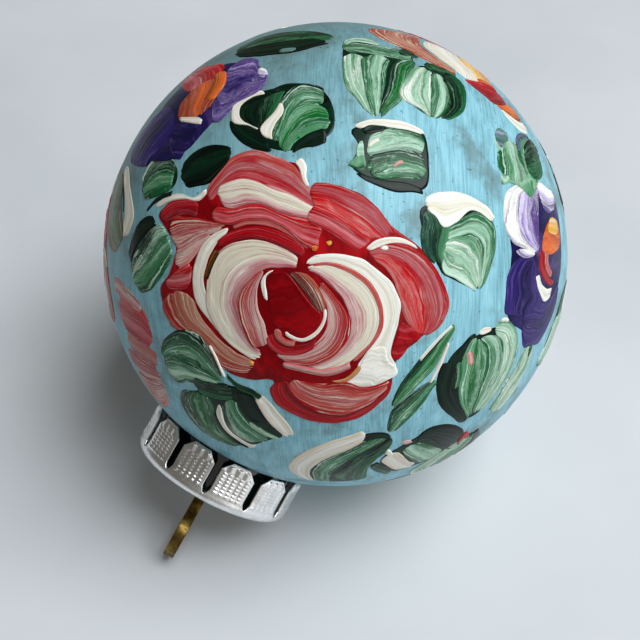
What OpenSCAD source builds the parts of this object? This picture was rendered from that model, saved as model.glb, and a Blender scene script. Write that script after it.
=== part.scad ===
// Glass ball ornament with a hand-painted ball, a stamped cap and a split-pin hanger.
// +Z is up through the hanger as the ornament hangs, and the origin is the centre of the
// hanger's eye. The front rose faces -Y. All sizes are in millimetres.

/* [Ball] */
// Outside radius of the painted ball
ball_r = 40; // [38:0.5:44]
// Thickness of the glass
glass_t = 0.9; // [0.7:0.1:1.2]
// Thickness of the ground coat of paint
coat_t = 0.25; // [0.15:0.05:0.3]
// Outside radius of the glass neck
neck_r = 12.6; // [12.4:0.1:13.2]
// Height of the neck's mouth over the top of the ball
neck_rise = 5.5; // [5:0.1:5.9]

/* [Cap] */
// Outside radius of the cap
cap_r = 14.8; // [14.6:0.1:15.2]
// Thickness of the cap's sheet metal
sheet_t = 0.4; // [0.3:0.05:0.5]
// Height of the cap's flat top over the top of the ball
cap_rise = 6; // [6:0.1:6.4]
// Height of the cap from the tips of its tabs to its flat top
cap_h = 8.3; // [7.6:0.1:8.4]
// Number of tabs round the cap
tab_count = 12; // [10:1:14]
// Width of the slots between the tabs
slot_w = 1.45; // [1:0.05:1.8]
// Radius of the hole that the hanger goes through
cap_hole_r = 1.5; // [1.45:0.05:2]

/* [Hanger] */
// Inside radius of the eye
eye_r = 4; // [3.5:0.1:4.5]
// Width of the brass strip
strip_w = 2; // [1.6:0.1:2]
// Thickness of the brass strip
strip_t = 0.8; // [0.6:0.05:0.8]
// Height of the eye's centre over the flat top of the cap
eye_rise = 11.2; // [9:0.1:13]
// Angle that each spring leg leans outward
leg_lean = 40; // [34:1:40]
// Straight length of each spring leg
leg_len = 13.8; // [11:0.1:13.8]

/* [Raised paint] */
// Height of the dried brush strokes over the ground coat
relief_t = 0.5; // [0.3:0.05:0.6]

/* [Hidden] */
$fn = 96;

// Heights of the main parts, from the eye's centre
cap_top_z = -eye_rise;
ball_z = cap_top_z - cap_rise - ball_r;
mouth_z = ball_r + neck_rise;

// Glass, from the ball's centre
glass_r = ball_r - coat_t;
neck_in_r = neck_r - glass_t;
lip_r = 0.4;
coat_hole_r = neck_r + 0.6;

// Layers of paint that lie on each other keep this hair's breadth of a gap
paint_gap = 0.01;

// Cap
cap_corner_r = 1.5;
bead_r = 0.25;
bead_inset = 1.8;
slot_start = cap_corner_r + 0.1;
tab_pitch = 2 * cap_r * sin(180 / tab_count);
tab_tip_w = 0.4 * tab_pitch;
tab_shoulder_h = 1.6;
cut_reach = 3;

// Hanger: the centreline of the strip, and where its curves meet
eye_mid_r = eye_r + strip_t / 2;
leg_gap = 0.1;
pinch_u = (leg_gap + strip_t) / 2;
fillet_r = 1.6;
fillet_u = pinch_u + fillet_r;
fillet_angle = acos(fillet_u / (eye_mid_r + fillet_r));
fillet_z = -(eye_mid_r + fillet_r) * sin(fillet_angle);
pinch_end_z = cap_top_z - sheet_t - 1.5;
bend_r = 3;
bend_end_u = pinch_u + bend_r * (1 - cos(leg_lean));
bend_end_z = pinch_end_z - bend_r * sin(leg_lean);
leg_end_u = bend_end_u + leg_len * sin(leg_lean);
leg_end_z = bend_end_z - leg_len * cos(leg_lean);
foot_r = 2.5;
foot_u = leg_end_u - foot_r * cos(leg_lean);
foot_z = leg_end_z - foot_r * sin(leg_lean);
foot_len = 3;

// How far neighbouring stretches of the strip reach into each other, so that they are one piece
weld_lap = 0.1;
weld_angle = 4;

// ---------- Hanger ----------
// The strip is drawn in a plane, u sideways and v upward, and stood up with its width along X
module stand_strip() {
  rotate([90, 0, 90]) children();
}

module strip_arc(mid_r, start, sweep) {
  rotate([0, 0, start])
    rotate_extrude(angle = sweep)
      translate([mid_r - strip_t / 2, -strip_w / 2])
        square([strip_t, strip_w]);
}

// A straight stretch down from its upper end, reaching a little into the curves at both ends
module strip_line(u, v, lean, length, foot_lap = weld_lap) {
  translate([u, v, 0])
    rotate([0, 0, lean])
      translate([-strip_t / 2, -length - foot_lap, -strip_w / 2])
        cube([strip_t, length + weld_lap + foot_lap, strip_w]);
}

module hanger_leg() {
  translate([fillet_u, fillet_z, 0])
    strip_arc(fillet_r, 180 - fillet_angle - weld_angle, fillet_angle + weld_angle);
  strip_line(pinch_u, fillet_z, 0, fillet_z - pinch_end_z);
  translate([pinch_u + bend_r, pinch_end_z, 0])
    strip_arc(bend_r, 180, leg_lean);
  strip_line(bend_end_u, bend_end_z, leg_lean, leg_len);
  translate([foot_u, foot_z, 0])
    strip_arc(foot_r, 0, leg_lean);
  strip_line(foot_u + foot_r, foot_z, 0, foot_len, 0);
}

module hanger() {
  color([0.62, 0.50, 0.24])
    stand_strip() {
      strip_arc(eye_mid_r, -fillet_angle, 180 + 2 * fillet_angle);
      hanger_leg();
      mirror([1, 0, 0]) hanger_leg();
    }
}

// ---------- Cap ----------
// A cup with a round corner, mouth down, its flat top at z = 0
module cup(r, corner_r, h) {
  translate([0, 0, -h]) cylinder(r = r, h = h - corner_r);
  translate([0, 0, -h]) cylinder(r = r - corner_r, h = h);
  translate([0, 0, -corner_r])
    rotate_extrude()
      translate([r - corner_r, 0])
        intersection() {
          circle(r = corner_r);
          square([corner_r, corner_r]);
        }
}

// The slot between two tabs, opening into the notch between their pointed tips
module tab_slot() {
  notch_w = tab_pitch - tab_tip_w;
  shoulder_z = -cap_h + tab_shoulder_h;
  below_z = -cap_h - 1;
  rotate([90, 0, 90])
    linear_extrude(height = 2 * cut_reach)
      polygon([
        [-slot_w / 2, -slot_start], [slot_w / 2, -slot_start],
        [slot_w / 2, shoulder_z], [notch_w / 2, -cap_h], [notch_w / 2, below_z],
        [-notch_w / 2, below_z], [-notch_w / 2, -cap_h], [-slot_w / 2, shoulder_z]
      ]);
}

module cap() {
  color([0.80, 0.81, 0.82])
    translate([0, 0, cap_top_z]) {
      difference() {
        cup(cap_r, cap_corner_r, cap_h);
        translate([0, 0, -sheet_t])
          cup(cap_r - sheet_t, cap_corner_r - sheet_t, cap_h);
        translate([0, 0, -sheet_t - 1]) cylinder(r = cap_hole_r, h = sheet_t + 2);
        for (k = [0:tab_count - 1])
          rotate([0, 0, (k + 0.5) * 360 / tab_count])
            translate([cap_r - cut_reach, 0, 0])
              tab_slot();
      }
      rotate_extrude()
        translate([cap_r - bead_inset, 0])
          circle(r = bead_r, $fn = 32);
    }
}

// ---------- Ball ----------
module glass_ball() {
  color([0.05, 0.12, 0.11])
    translate([0, 0, ball_z])
      difference() {
        union() {
          sphere(r = glass_r);
          cylinder(r = neck_r, h = mouth_z);
          translate([0, 0, mouth_z - lip_r])
            rotate_extrude()
              translate([neck_r, 0])
                circle(r = lip_r, $fn = 32);
        }
        sphere(r = glass_r - glass_t);
        cylinder(r = neck_in_r, h = mouth_z + 1);
      }
}

module ground_coat() {
  color([0.45, 0.70, 0.77])
    translate([0, 0, ball_z])
      difference() {
        sphere(r = ball_r);
        sphere(r = glass_r + paint_gap);
        cylinder(r = coat_hole_r, h = 2 * ball_r);
      }
}

// ---------- Raised paint ----------
// Places on the ball are a longitude, 0 at the front and growing toward +X, and a latitude,
// growing toward the neck. What stands on a place has its own X eastward and Y northward.
module at_place(lon, lat, turn = 0) {
  rotate([0, 0, lon])
    rotate([90 - lat, 0, 0])
      rotate([0, 0, turn])
        children();
}

module relief() {
  translate([0, 0, ball_z])
    intersection() {
      difference() {
        sphere(r = ball_r + relief_t);
        sphere(r = ball_r + paint_gap);
      }
      union() children();
    }
}

// A blossom is a round middle with a ring of round petals
module blossom(lon, lat, middle_r, petal_r, petal_out, petals, turn = 0) {
  at_place(lon, lat, turn) {
    cylinder(r = middle_r, h = 2 * ball_r);
    for (k = [0:petals - 1])
      rotate([0, 0, k * 360 / petals])
        translate([petal_out, 0, 0])
          cylinder(r = petal_r, h = 2 * ball_r);
  }
}

// A leaf is where two round outlines cross, with its length eastward before it is turned
module leaf(lon, lat, turn, length, width) {
  side_r = (length * length + width * width) / (4 * width);
  at_place(lon, lat, turn)
    intersection() {
      translate([0, side_r - width / 2, 0]) cylinder(r = side_r, h = 2 * ball_r);
      translate([0, width / 2 - side_r, 0]) cylinder(r = side_r, h = 2 * ball_r);
    }
}

module front_rose() {
  color([0.70, 0.13, 0.17]) relief() blossom(5, 9.5, 14, 8.4, 12.4, 6);
}

module side_rose() {
  color([0.78, 0.35, 0.40]) relief() blossom(84, 26, 12, 7.5, 11, 6);
}

module back_rose() {
  color([0.75, 0.30, 0.28]) relief() blossom(172, 8, 13, 8, 12, 6, 20);
}

module bottom_rose() {
  color([0.85, 0.45, 0.32]) relief() blossom(-10, -78, 11, 7, 10.5, 6);
}

module left_pansy() {
  color([0.36, 0.27, 0.52]) relief() blossom(56, -17, 5.5, 5, 5.5, 5, 30);
}

module right_pansy() {
  color([0.55, 0.48, 0.75]) relief() blossom(-63, -16, 7, 6.2, 8, 5, 18);
}

module back_pansy() {
  color([0.36, 0.27, 0.52]) relief() blossom(-118, -22, 7, 6.2, 7.5, 5, 60);
}

module leaves_under_rose() {
  color([0.17, 0.38, 0.24])
    relief() {
      leaf(27, -22, 24, 13, 8.5);
      leaf(2, -27, -5, 14, 8.5);
    }
}

module fan_leaves() {
  color([0.35, 0.52, 0.42])
    relief() {
      leaf(18, -40, 100, 13, 9);
      leaf(-4, -44, 70, 13, 9);
    }
}

module right_leaf() {
  color([0.25, 0.45, 0.36]) relief() leaf(-27, -17, 115, 14, 9);
}

module slim_leaf() {
  color([0.20, 0.40, 0.28]) relief() leaf(-32, 16, 96, 18, 4);
}

module pale_leaf() {
  color([0.45, 0.60, 0.52]) relief() leaf(-45, 8, 88, 15, 9);
}

module neck_leaves() {
  color([0.30, 0.45, 0.36])
    relief() {
      leaf(-27, 44, 104, 14, 6);
      leaf(-52, 33, 112, 15, 6.5);
    }
}

module cap_leaves() {
  color([0.15, 0.36, 0.24])
    relief() {
      leaf(32, 46, 60, 12, 7);
      leaf(0, 53, 110, 12, 8);
    }
}

module left_leaves() {
  color([0.12, 0.28, 0.18])
    relief() {
      leaf(45, 5, 70, 9, 6);
      leaf(53, 15, 60, 7, 4);
    }
}

module low_leaves() {
  color([0.18, 0.34, 0.24])
    relief() {
      leaf(46, -38, 30, 12, 7);
      leaf(-34, -42, 20, 11, 7);
      leaf(-80, -50, 80, 13, 8);
      leaf(90, -40, 140, 14, 8);
    }
}

module back_leaves() {
  color([0.17, 0.38, 0.24])
    relief() {
      leaf(128, 4, 70, 16, 8);
      leaf(140, -30, 20, 16, 8);
      leaf(-160, -38, 140, 16, 8);
      leaf(-128, 22, 100, 17, 9);
      leaf(150, 48, 10, 16, 8);
      leaf(-150, 46, 160, 14, 7);
      leaf(-92, 12, 60, 14, 8);
    }
}

hanger();
cap();
glass_ball();
ground_coat();
front_rose();
side_rose();
back_rose();
bottom_rose();
left_pansy();
right_pansy();
back_pansy();
leaves_under_rose();
fan_leaves();
right_leaf();
slim_leaf();
pale_leaf();
neck_leaves();
cap_leaves();
left_leaves();
low_leaves();
back_leaves();
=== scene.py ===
"""Looks of the glass ball ornament: a hand-painted ball, a stamped cap and a split-pin hanger.

The brush strokes are meshes. Each one is given by the two edges of the brush mark, in millimetres
walked over the ball from the middle of a painted place, and it lies on top of what is under it.
"""

import math

import bmesh
import bpy
import numpy as np
from mathutils import Matrix, Vector


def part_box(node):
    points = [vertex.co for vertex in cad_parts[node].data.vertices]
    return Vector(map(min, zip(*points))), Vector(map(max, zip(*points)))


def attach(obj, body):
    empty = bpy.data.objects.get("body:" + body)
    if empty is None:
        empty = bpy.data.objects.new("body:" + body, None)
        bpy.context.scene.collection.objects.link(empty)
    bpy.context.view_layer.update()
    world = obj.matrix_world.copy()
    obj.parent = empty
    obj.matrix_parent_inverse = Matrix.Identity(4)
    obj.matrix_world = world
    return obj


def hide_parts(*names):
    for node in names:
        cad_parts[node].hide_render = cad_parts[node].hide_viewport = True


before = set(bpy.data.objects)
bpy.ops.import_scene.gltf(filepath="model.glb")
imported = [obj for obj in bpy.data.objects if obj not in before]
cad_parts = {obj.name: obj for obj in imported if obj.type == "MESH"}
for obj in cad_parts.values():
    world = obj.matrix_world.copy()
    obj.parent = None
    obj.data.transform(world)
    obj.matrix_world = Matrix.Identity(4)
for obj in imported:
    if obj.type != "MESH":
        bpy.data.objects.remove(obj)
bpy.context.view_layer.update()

# ---------- Sizes, from the frame ----------
MM = 0.001
coat_low, coat_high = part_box("ground_coat")
cap_low, cap_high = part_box("cap")
hanger_low, hanger_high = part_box("hanger")
BALL_R = (coat_high.x - coat_low.x) / 2
BALL = Vector((0, 0, coat_low.z + BALL_R))


# ---------- Places on the ball ----------
class Place:
    """A patch of the ball that is painted as if it were flat.

    lon is 0 at the front and grows toward +X, lat grows toward the neck, and roll turns the patch's
    own x and y against east and north. origin is the point of the drawing that lies in the middle.
    """

    def __init__(self, lon, lat, roll=0.0, scale=1.0, origin=(0, 0), mirror=False):
        lon, lat, roll = (math.radians(a) for a in (lon, lat, roll))
        self.normal = Vector((math.sin(lon) * math.cos(lat), -math.cos(lon) * math.cos(lat), math.sin(lat)))
        east = Vector((math.cos(lon), math.sin(lon), 0))
        north = self.normal.cross(east)
        self.right = east * math.cos(roll) + north * math.sin(roll)
        self.up = north * math.cos(roll) - east * math.sin(roll)
        self.scale, self.origin, self.mirror = scale, origin, mirror
        self.under = Underlayer()

    def points(self, xy, height):
        """Where points of the drawing lie, in metres, at a height in mm over the ground coat."""
        x = (xy[..., 0] - self.origin[0]) * self.scale * (-1 if self.mirror else 1)
        y = (xy[..., 1] - self.origin[1]) * self.scale
        walk = np.hypot(x, y) + 1e-9
        turn = walk * MM / BALL_R
        out = (np.sin(turn) * x / walk)[..., None] * np.array(self.right)
        out = out + (np.sin(turn) * y / walk)[..., None] * np.array(self.up)
        out = out + np.cos(turn)[..., None] * np.array(self.normal)
        return np.array(BALL) + out * (BALL_R + height * MM)[..., None]


class Underlayer:
    """How high the paint already stands in each small cell of a place, in mm."""

    CELL = 0.4
    HALF = 160

    def __init__(self):
        self.height = np.zeros((2 * self.HALF, 2 * self.HALF))

    def cells(self, xy):
        cell = np.rint(xy / self.CELL).astype(int) + self.HALF
        return np.clip(cell, 1, 2 * self.HALF - 2)

    def at(self, xy):
        cell = self.cells(xy)
        found = [self.height[cell[..., 0] + i, cell[..., 1] + j] for i in (-1, 0, 1) for j in (-1, 0, 1)]
        return np.max(found, axis=0)

    def add(self, xy, height):
        cell = self.cells(xy)
        np.maximum.at(self.height, (cell[..., 0], cell[..., 1]), height)


# ---------- Brush strokes ----------
# Sizes of paint are in millimetres. A shell's rim is sunk into the ground coat.
RIM_HEIGHT = -0.12
COAT_OF_PAINT = 0.045
EDGE_RIDGE = 0.028
GROOVE_DEPTH = 0.022
BRISTLE_PITCH = 0.5
SPREAD = 0.22
SHAKE = 0.09
# How far in from its sides and ends a stroke has risen, and where its ridge and its end pile are
SIDE_RISE, END_RISE = 0.16, 0.2
RIDGE_AT, RIDGE_WIDTH = 0.3, 0.2
PILE_AT, PILE_WIDTH, PILE_RISE = 0.6, 0.5, 0.6
# The same for a pool
POOL_RISE, POOL_RIDGE_AT, POOL_RIDGE_WIDTH = 0.2, 0.35, 0.25
# Sizes of mesh faces: along a stroke, across it, round a pool and inward
STROKE_STEP, BRISTLE_STEP = 0.42, 0.17
POOL_STEP, RING_STEP = 0.5, 0.35
rng = np.random.default_rng(12)


def curve_through(points, closed=False, samples=200):
    """The smooth curve through a few points, sampled at even steps."""
    p = np.array(points, float)
    if closed:
        q = np.vstack([p[-1], p, p[0], p[1]])
    else:
        q = np.vstack([2 * p[0] - p[1], p, 2 * p[-1] - p[-2]])
    t = np.linspace(0, 1, 24, endpoint=False)[:, None]
    runs = []
    for a, b, c, d in zip(q, q[1:], q[2:], q[3:]):
        bend = (2 * a - 5 * b + 4 * c - d) * t**2 + (3 * b - 3 * c + d - a) * t**3
        runs.append((2 * b + (c - a) * t + bend) / 2)
    runs.append(q[-2][None])
    line = np.vstack(runs)
    walked = np.concatenate([[0], np.cumsum(np.linalg.norm(np.diff(line, axis=0), axis=1))])
    steps = np.linspace(0, walked[-1], samples)
    return np.stack([np.interp(steps, walked, line[:, k]) for k in (0, 1)], axis=1), walked[-1]


def wander(count, knots):
    """A smooth random line between -1 and 1, with about that many bends."""
    knots = max(3, int(knots))
    at = np.linspace(0, knots - 1, count)
    low = np.minimum(at.astype(int), knots - 2)
    ease = (1 - np.cos(math.pi * (at - low))) / 2
    value = rng.uniform(-1, 1, knots)
    return value[low] * (1 - ease) + value[low + 1] * ease


def bristle_marks(rows, columns, marks):
    """Grooves that run along a stroke and slowly change, as a brush's bristles leave them."""
    profiles = [wander(columns, marks) * 0.65 + wander(columns, marks * 2.1) * 0.35 for _ in range(4)]
    at = np.linspace(0, 3, rows)
    low = np.minimum(at.astype(int), 2)
    ease = (at - low)[:, None]
    stacked = np.array(profiles)
    return stacked[low] * (1 - ease) + stacked[low + 1] * ease


def hump(distance, middle, width):
    """A smooth hump, 1 at its middle."""
    return np.exp(-(((distance - middle) / width) ** 2))


def blurred(grid, times=3):
    """Each value averaged with its four neighbours, a few times over."""
    for _ in range(times):
        padded = np.pad(grid, 1, mode="edge")
        grid = (padded[:-2, 1:-1] + padded[2:, 1:-1] + padded[1:-1, :-2] + padded[1:-1, 2:] + 2 * grid) / 6
    return grid


class Paint:
    """One piece of dried paint: closed shells with a place in each material's drawing."""

    def __init__(self):
        self.points, self.faces, self.mixes, self.uvs, self.smooth = [], [], [], [], []
        self.count = 0

    def shell(self, points, quads, rest, mix, uv):
        """Adds a closed shell: quads are its smooth painted top, and rest closes it below."""
        self.points.append(points)
        for group, soft in ((quads, True), (rest, False)):
            for face in group:
                self.faces.append([int(k) + self.count for k in face])
                self.mixes.append(mix)
                self.smooth.append(soft)
                self.uvs.extend(uv[int(k)] for k in face)
        self.count += len(points)

    def stroke(self, place, mix, rail_a, rail_b):
        """One brush mark between two edges, with rounded ends, a raised rim and bristle grooves."""
        (a, length_a), (b, length_b) = curve_through(rail_a), curve_through(rail_b)
        breadth = np.linalg.norm(a - b, axis=1)
        length = (length_a + length_b) / 2 * place.scale
        width = breadth.max() * place.scale
        rows = int(np.clip(length / STROKE_STEP, 7, 90))
        columns = int(np.clip(width / BRISTLE_STEP, 7, 64))

        # Rounded, ragged ends: each column starts a little later and stops a little sooner
        v = np.linspace(0, 1, columns + 1)
        rounding = (1 - np.sqrt(1 - 0.96 * (2 * v - 1) ** 2)) / 2 * place.scale / max(length, 1)
        start = rounding * (breadth[0] + 0.3) + 0.2 / length * (1 + wander(columns + 1, width / 0.6))
        end = rounding * (breadth[-1] + 0.3) + 0.35 / length * (1 + wander(columns + 1, width / 0.5))
        at = start + np.linspace(0, 1, rows + 1)[:, None] * (1 - start - end)
        at = np.clip(at, 0, 1) * (len(a) - 1)
        low = np.minimum(at.astype(int), len(a) - 2)
        part = (at - low)[..., None]
        edge_a = a[low] * (1 - part) + a[low + 1] * part
        edge_b = b[low] * (1 - part) + b[low + 1] * part

        # The edges shake a little, and the paint spreads past them
        shake = SHAKE * min(1, width / 2)
        shift_a = wander(rows + 1, length / 1.6)[:, None] * shake
        shift_b = wander(rows + 1, length / 1.6)[:, None] * shake
        gap = edge_b - edge_a
        sideways = gap / (np.linalg.norm(gap, axis=-1, keepdims=True) + 1e-6)
        spread = min(SPREAD, breadth.max() * 0.12) * (2 * v - 1)
        shift = (shift_a * (1 - v) + shift_b * v + spread)[..., None]
        xy = edge_a + gap * v[:, None] + sideways * shift

        # Heights: thin at the rim, a ridge along the sides, a pile where the brush was lifted
        from_side = np.minimum(v, 1 - v) * np.linalg.norm(gap, axis=-1) * place.scale
        row = np.linspace(0, 1, rows + 1)[:, None]
        from_end = np.minimum(row, 1 - row) * length * np.ones_like(v)
        rise = (1 - hump(from_side, 0, SIDE_RISE)) * (1 - hump(from_end, 0, END_RISE))
        ridge = hump(from_side, RIDGE_AT, RIDGE_WIDTH) * (0.6 + 0.4 * shift_a / shake)
        pile = hump((1 - row) * length, PILE_AT, PILE_WIDTH) * PILE_RISE
        grooves = bristle_marks(rows + 1, columns + 1, width / BRISTLE_PITCH)
        below = place.under.at(xy)
        below = np.maximum(below, blurred(below))
        layer = COAT_OF_PAINT + (ridge + pile) * EDGE_RIDGE + grooves * GROOVE_DEPTH
        height = below + rise * layer
        inside = np.zeros(height.shape, bool)
        inside[1:-1, 1:-1] = True
        place.under.add(xy[inside], height[inside])
        height[~inside] = RIM_HEIGHT

        # Faces: the painted top, a ladder that closes the underside, and the two ends
        grid = np.arange((rows + 1) * (columns + 1)).reshape(rows + 1, columns + 1)
        quads = np.stack([grid[:-1, :-1], grid[1:, :-1], grid[1:, 1:], grid[:-1, 1:]], -1)
        ladder = [(grid[i, 0], grid[i, -1], grid[i + 1, -1], grid[i + 1, 0]) for i in range(rows)]
        rest = ladder + [grid[0, :], grid[-1, ::-1]]
        seed = rng.uniform(0, 90)
        uv = np.stack(np.broadcast_arrays(row * length + seed, v), -1).reshape(-1, 2)
        self.shell(place.points(xy, height).reshape(-1, 3), quads.reshape(-1, 4), rest, mix, uv)

    def pool(self, place, mix, outline):
        """A filled patch, drawn as rings round its middle."""
        edge, perimeter = curve_through(outline, closed=True, samples=241)
        keep = int(np.clip(perimeter * place.scale / POOL_STEP, 14, 240))
        edge = edge[np.linspace(0, 240, keep, endpoint=False).astype(int)]
        middle = (edge.min(axis=0) + edge.max(axis=0)) / 2
        reach = np.linalg.norm(edge - middle, axis=1)
        rings = int(np.clip(reach.max() * place.scale / RING_STEP, 5, 60))
        t = np.linspace(1, 0, rings, endpoint=False)[:, None]
        outward = (edge - middle) / reach[:, None]
        edge = edge + outward * (wander(keep, perimeter / 2) * 0.12)[:, None]
        xy = middle + (edge - middle) * t[..., None]

        from_side = (1 - t) * reach * place.scale
        rise = 1 - hump(from_side, 0, POOL_RISE)
        ridge = hump(from_side, POOL_RIDGE_AT, POOL_RIDGE_WIDTH) * EDGE_RIDGE
        below = place.under.at(xy)
        below = np.maximum(below, blurred(below))
        height = below + rise * (COAT_OF_PAINT + ridge)
        place.under.add(xy[1:], height[1:])
        height[0] = RIM_HEIGHT
        top = place.under.at(middle[None])[0] + COAT_OF_PAINT
        xy = np.vstack([xy.reshape(-1, 2), middle[None]])
        height = np.concatenate([height.reshape(-1), [top]])

        grid = np.arange(rings * keep).reshape(rings, keep)
        following = np.roll(grid, -1, axis=1)
        quads = np.stack([grid[:-1], following[:-1], following[1:], grid[1:]], -1).reshape(-1, 4)
        fan = [(grid[-1, k], following[-1, k], rings * keep) for k in range(keep)]
        seed = rng.uniform(0, 90)
        uv = np.stack([xy[:, 0] + seed, 0.5 + (xy[:, 1] - middle[1]) / (6 * reach.max())], -1)
        self.shell(place.points(xy, height), list(quads) + fan, [grid[0, ::-1]], mix, uv)

    def rows(self, place, rows, tint=None):
        """Paints a list of strokes and pools in their order, with some mixes swapped for others."""
        for row in rows:
            mix = (tint or {}).get(row[0], row[0])
            if len(row) == 3:
                self.stroke(place, mix, row[1], row[2])
            else:
                self.pool(place, mix, row[1])

    def piece(self, name, slot):
        """Makes the piece, which stands for the CAD node of the same name."""
        mesh = bpy.data.meshes.new(name)
        mesh.from_pydata(np.vstack(self.points).tolist(), [], self.faces)
        used = sorted(set(self.mixes))
        for mix in used:
            mesh.materials.append(paint_material(mix))
        mesh.polygons.foreach_set("material_index", [used.index(m) for m in self.mixes])
        mesh.polygons.foreach_set("use_smooth", self.smooth)
        layer = mesh.uv_layers.new(name="brush")
        layer.data.foreach_set("uv", np.array(self.uvs, np.float32).ravel())
        tidy_normals(mesh)
        return add_piece(mesh, name, "ball", slot, name)


def tidy_normals(mesh):
    """Turns all faces outward."""
    edit = bmesh.new()
    edit.from_mesh(mesh)
    bmesh.ops.recalc_face_normals(edit, faces=edit.faces)
    edit.to_mesh(mesh)
    edit.free()


def add_piece(mesh, name, body, slot, *nodes):
    """Puts a mesh in the scene as a piece that rides a body and stands for CAD nodes."""
    mesh.update()
    piece = bpy.data.objects.new(name + "_paint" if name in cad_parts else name, mesh)
    bpy.context.scene.collection.objects.link(piece)
    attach(piece, body)
    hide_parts(*nodes)
    return piece


# ---------- Colours ----------
COLOURS = {
    "white": (0.94, 0.94, 0.91), "cream": (0.86, 0.83, 0.75), "blush": (0.80, 0.64, 0.63),
    "mauve": (0.66, 0.32, 0.35), "pink": (0.80, 0.38, 0.42), "salmon": (0.72, 0.30, 0.28),
    "tan": (0.72, 0.48, 0.40), "ochre": (0.79, 0.56, 0.25), "red": (0.78, 0.07, 0.11),
    "crimson": (0.64, 0.01, 0.06), "deep": (0.45, 0.0, 0.03), "rust": (0.62, 0.22, 0.11),
    "orange": (0.90, 0.42, 0.18), "yellow": (0.95, 0.74, 0.20), "black": (0.01, 0.03, 0.03),
    "forest": (0.02, 0.14, 0.09), "green": (0.05, 0.34, 0.18), "sage": (0.30, 0.54, 0.38),
    "mint": (0.72, 0.86, 0.77), "emerald": (0.0, 0.40, 0.13), "teal": (0.05, 0.20, 0.18),
    "olive": (0.26, 0.33, 0.16), "slate": (0.28, 0.34, 0.42), "violet": (0.34, 0.25, 0.50),
    "indigo": (0.15, 0.10, 0.40), "lilac": (0.74, 0.68, 0.88), "navy": (0.07, 0.06, 0.24),
    "brown": (0.30, 0.10, 0.07),
}

# Each mix of paint: its colours from one edge of the stroke to the other, then the colour and the
# strength of its light streaks, and of its dark streaks
MIXES = {
    "base_red": (["crimson", "deep", "crimson"], "red", 0.3, "deep", 0.5),
    "base_pink": (["pink", "crimson", "mauve"], "pink", 0.3, "deep", 0.4),
    "base_peach": (["mauve", "rust", "salmon"], "tan", 0.3, "deep", 0.3),
    "top_petal": (["salmon", "crimson", "mauve", "crimson", "pink"], "blush", 0.4, "crimson", 0.6),
    "red_streaks": (["crimson", "mauve", "crimson", "red", "salmon"], "blush", 0.38, "crimson", 0.6),
    "cream": (["cream", "white", "cream"], "white", 0.4, "blush", 0.3),
    "white": (["white", "cream", "white"], "white", 0.4, "sage", 0.12),
    "cream_blush": (["cream", "cream", "cream", "blush", "mauve"], "white", 0.4, "mauve", 0.4),
    "blush": (["mauve", "blush", "pink"], "cream", 0.7, "crimson", 0.5),
    "pink_fade": (["crimson", "mauve", "blush"], "cream", 0.45, "crimson", 0.6),
    "crimson": (["crimson", "crimson", "deep"], "pink", 0.3, "deep", 0.5),
    "crimson_pink": (["red", "crimson", "pink", "crimson"], "blush", 0.42, "crimson", 0.6),
    "salmon": (["crimson", "salmon", "mauve", "salmon", "crimson"], "cream", 0.45, "crimson", 0.6),
    "tan": (["salmon", "tan", "mauve"], "cream", 0.42, "crimson", 0.5),
    "apricot": (["crimson", "rust", "tan", "tan"], "cream", 0.5, "crimson", 0.4),
    "limb": (["rust", "tan", "rust"], "cream", 0.45, "rust", 0.4),
    "red_salmon": (["crimson", "red", "salmon", "pink"], "cream", 0.42, "crimson", 0.6),
    "drop": (["crimson", "deep", "deep"], "red", 0.15, "deep", 0.4),
    "brown": (["brown", "deep", "rust"], "cream", 0.6, "black", 0.2),
    "slit": (["brown", "black"], "ochre", 0.3, "black", 0.4),
    "orange": (["orange", "rust"], "yellow", 0.3, "rust", 0.4),
    "ochre": (["ochre", "tan"], "cream", 0.3, "rust", 0.4),
    "yellow": (["yellow", "ochre"], "cream", 0.4, "orange", 0.4),
    "rust": (["rust", "orange", "rust"], "tan", 0.4, "deep", 0.4),
    "black": (["black", "forest", "black"], "green", 0.12, "black", 0.7),
    "forest": (["black", "forest", "green"], "sage", 0.5, "black", 0.6),
    "green": (["forest", "green", "sage", "green"], "mint", 0.5, "forest", 0.6),
    "sage": (["green", "sage", "mint", "green"], "mint", 0.5, "forest", 0.5),
    "mint": (["sage", "mint", "sage", "mint"], "white", 0.5, "green", 0.35),
    "emerald": (["forest", "emerald", "green"], "mint", 0.4, "forest", 0.6),
    "bright": (["sage", "emerald", "green", "sage"], "mint", 0.5, "emerald", 0.6),
    "teal": (["teal", "forest", "sage"], "sage", 0.55, "black", 0.5),
    "olive": (["olive", "sage", "olive"], "tan", 0.4, "forest", 0.5),
    "slate": (["slate", "sage"], "lilac", 0.3, "teal", 0.5),
    "violet": (["violet", "indigo", "violet"], "lilac", 0.3, "navy", 0.5),
    "indigo": (["indigo", "navy", "indigo"], "violet", 0.6, "navy", 0.5),
    "lilac": (["white", "lilac", "violet"], "white", 0.6, "violet", 0.5),
}

# Mixes that were pushed about while wet, so that their streaks wander more
PUSHED_ABOUT = ("forest", "green", "sage", "mint", "emerald", "bright", "teal", "olive", "violet", "lilac")


def linear(rgb):
    """A display colour as the linear colour that a shader takes."""
    return tuple(((c + 0.055) / 1.055) ** 2.4 if c > 0.04 else c / 12.92 for c in rgb) + (1,)


def colour(name):
    return linear(COLOURS[name])


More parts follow.
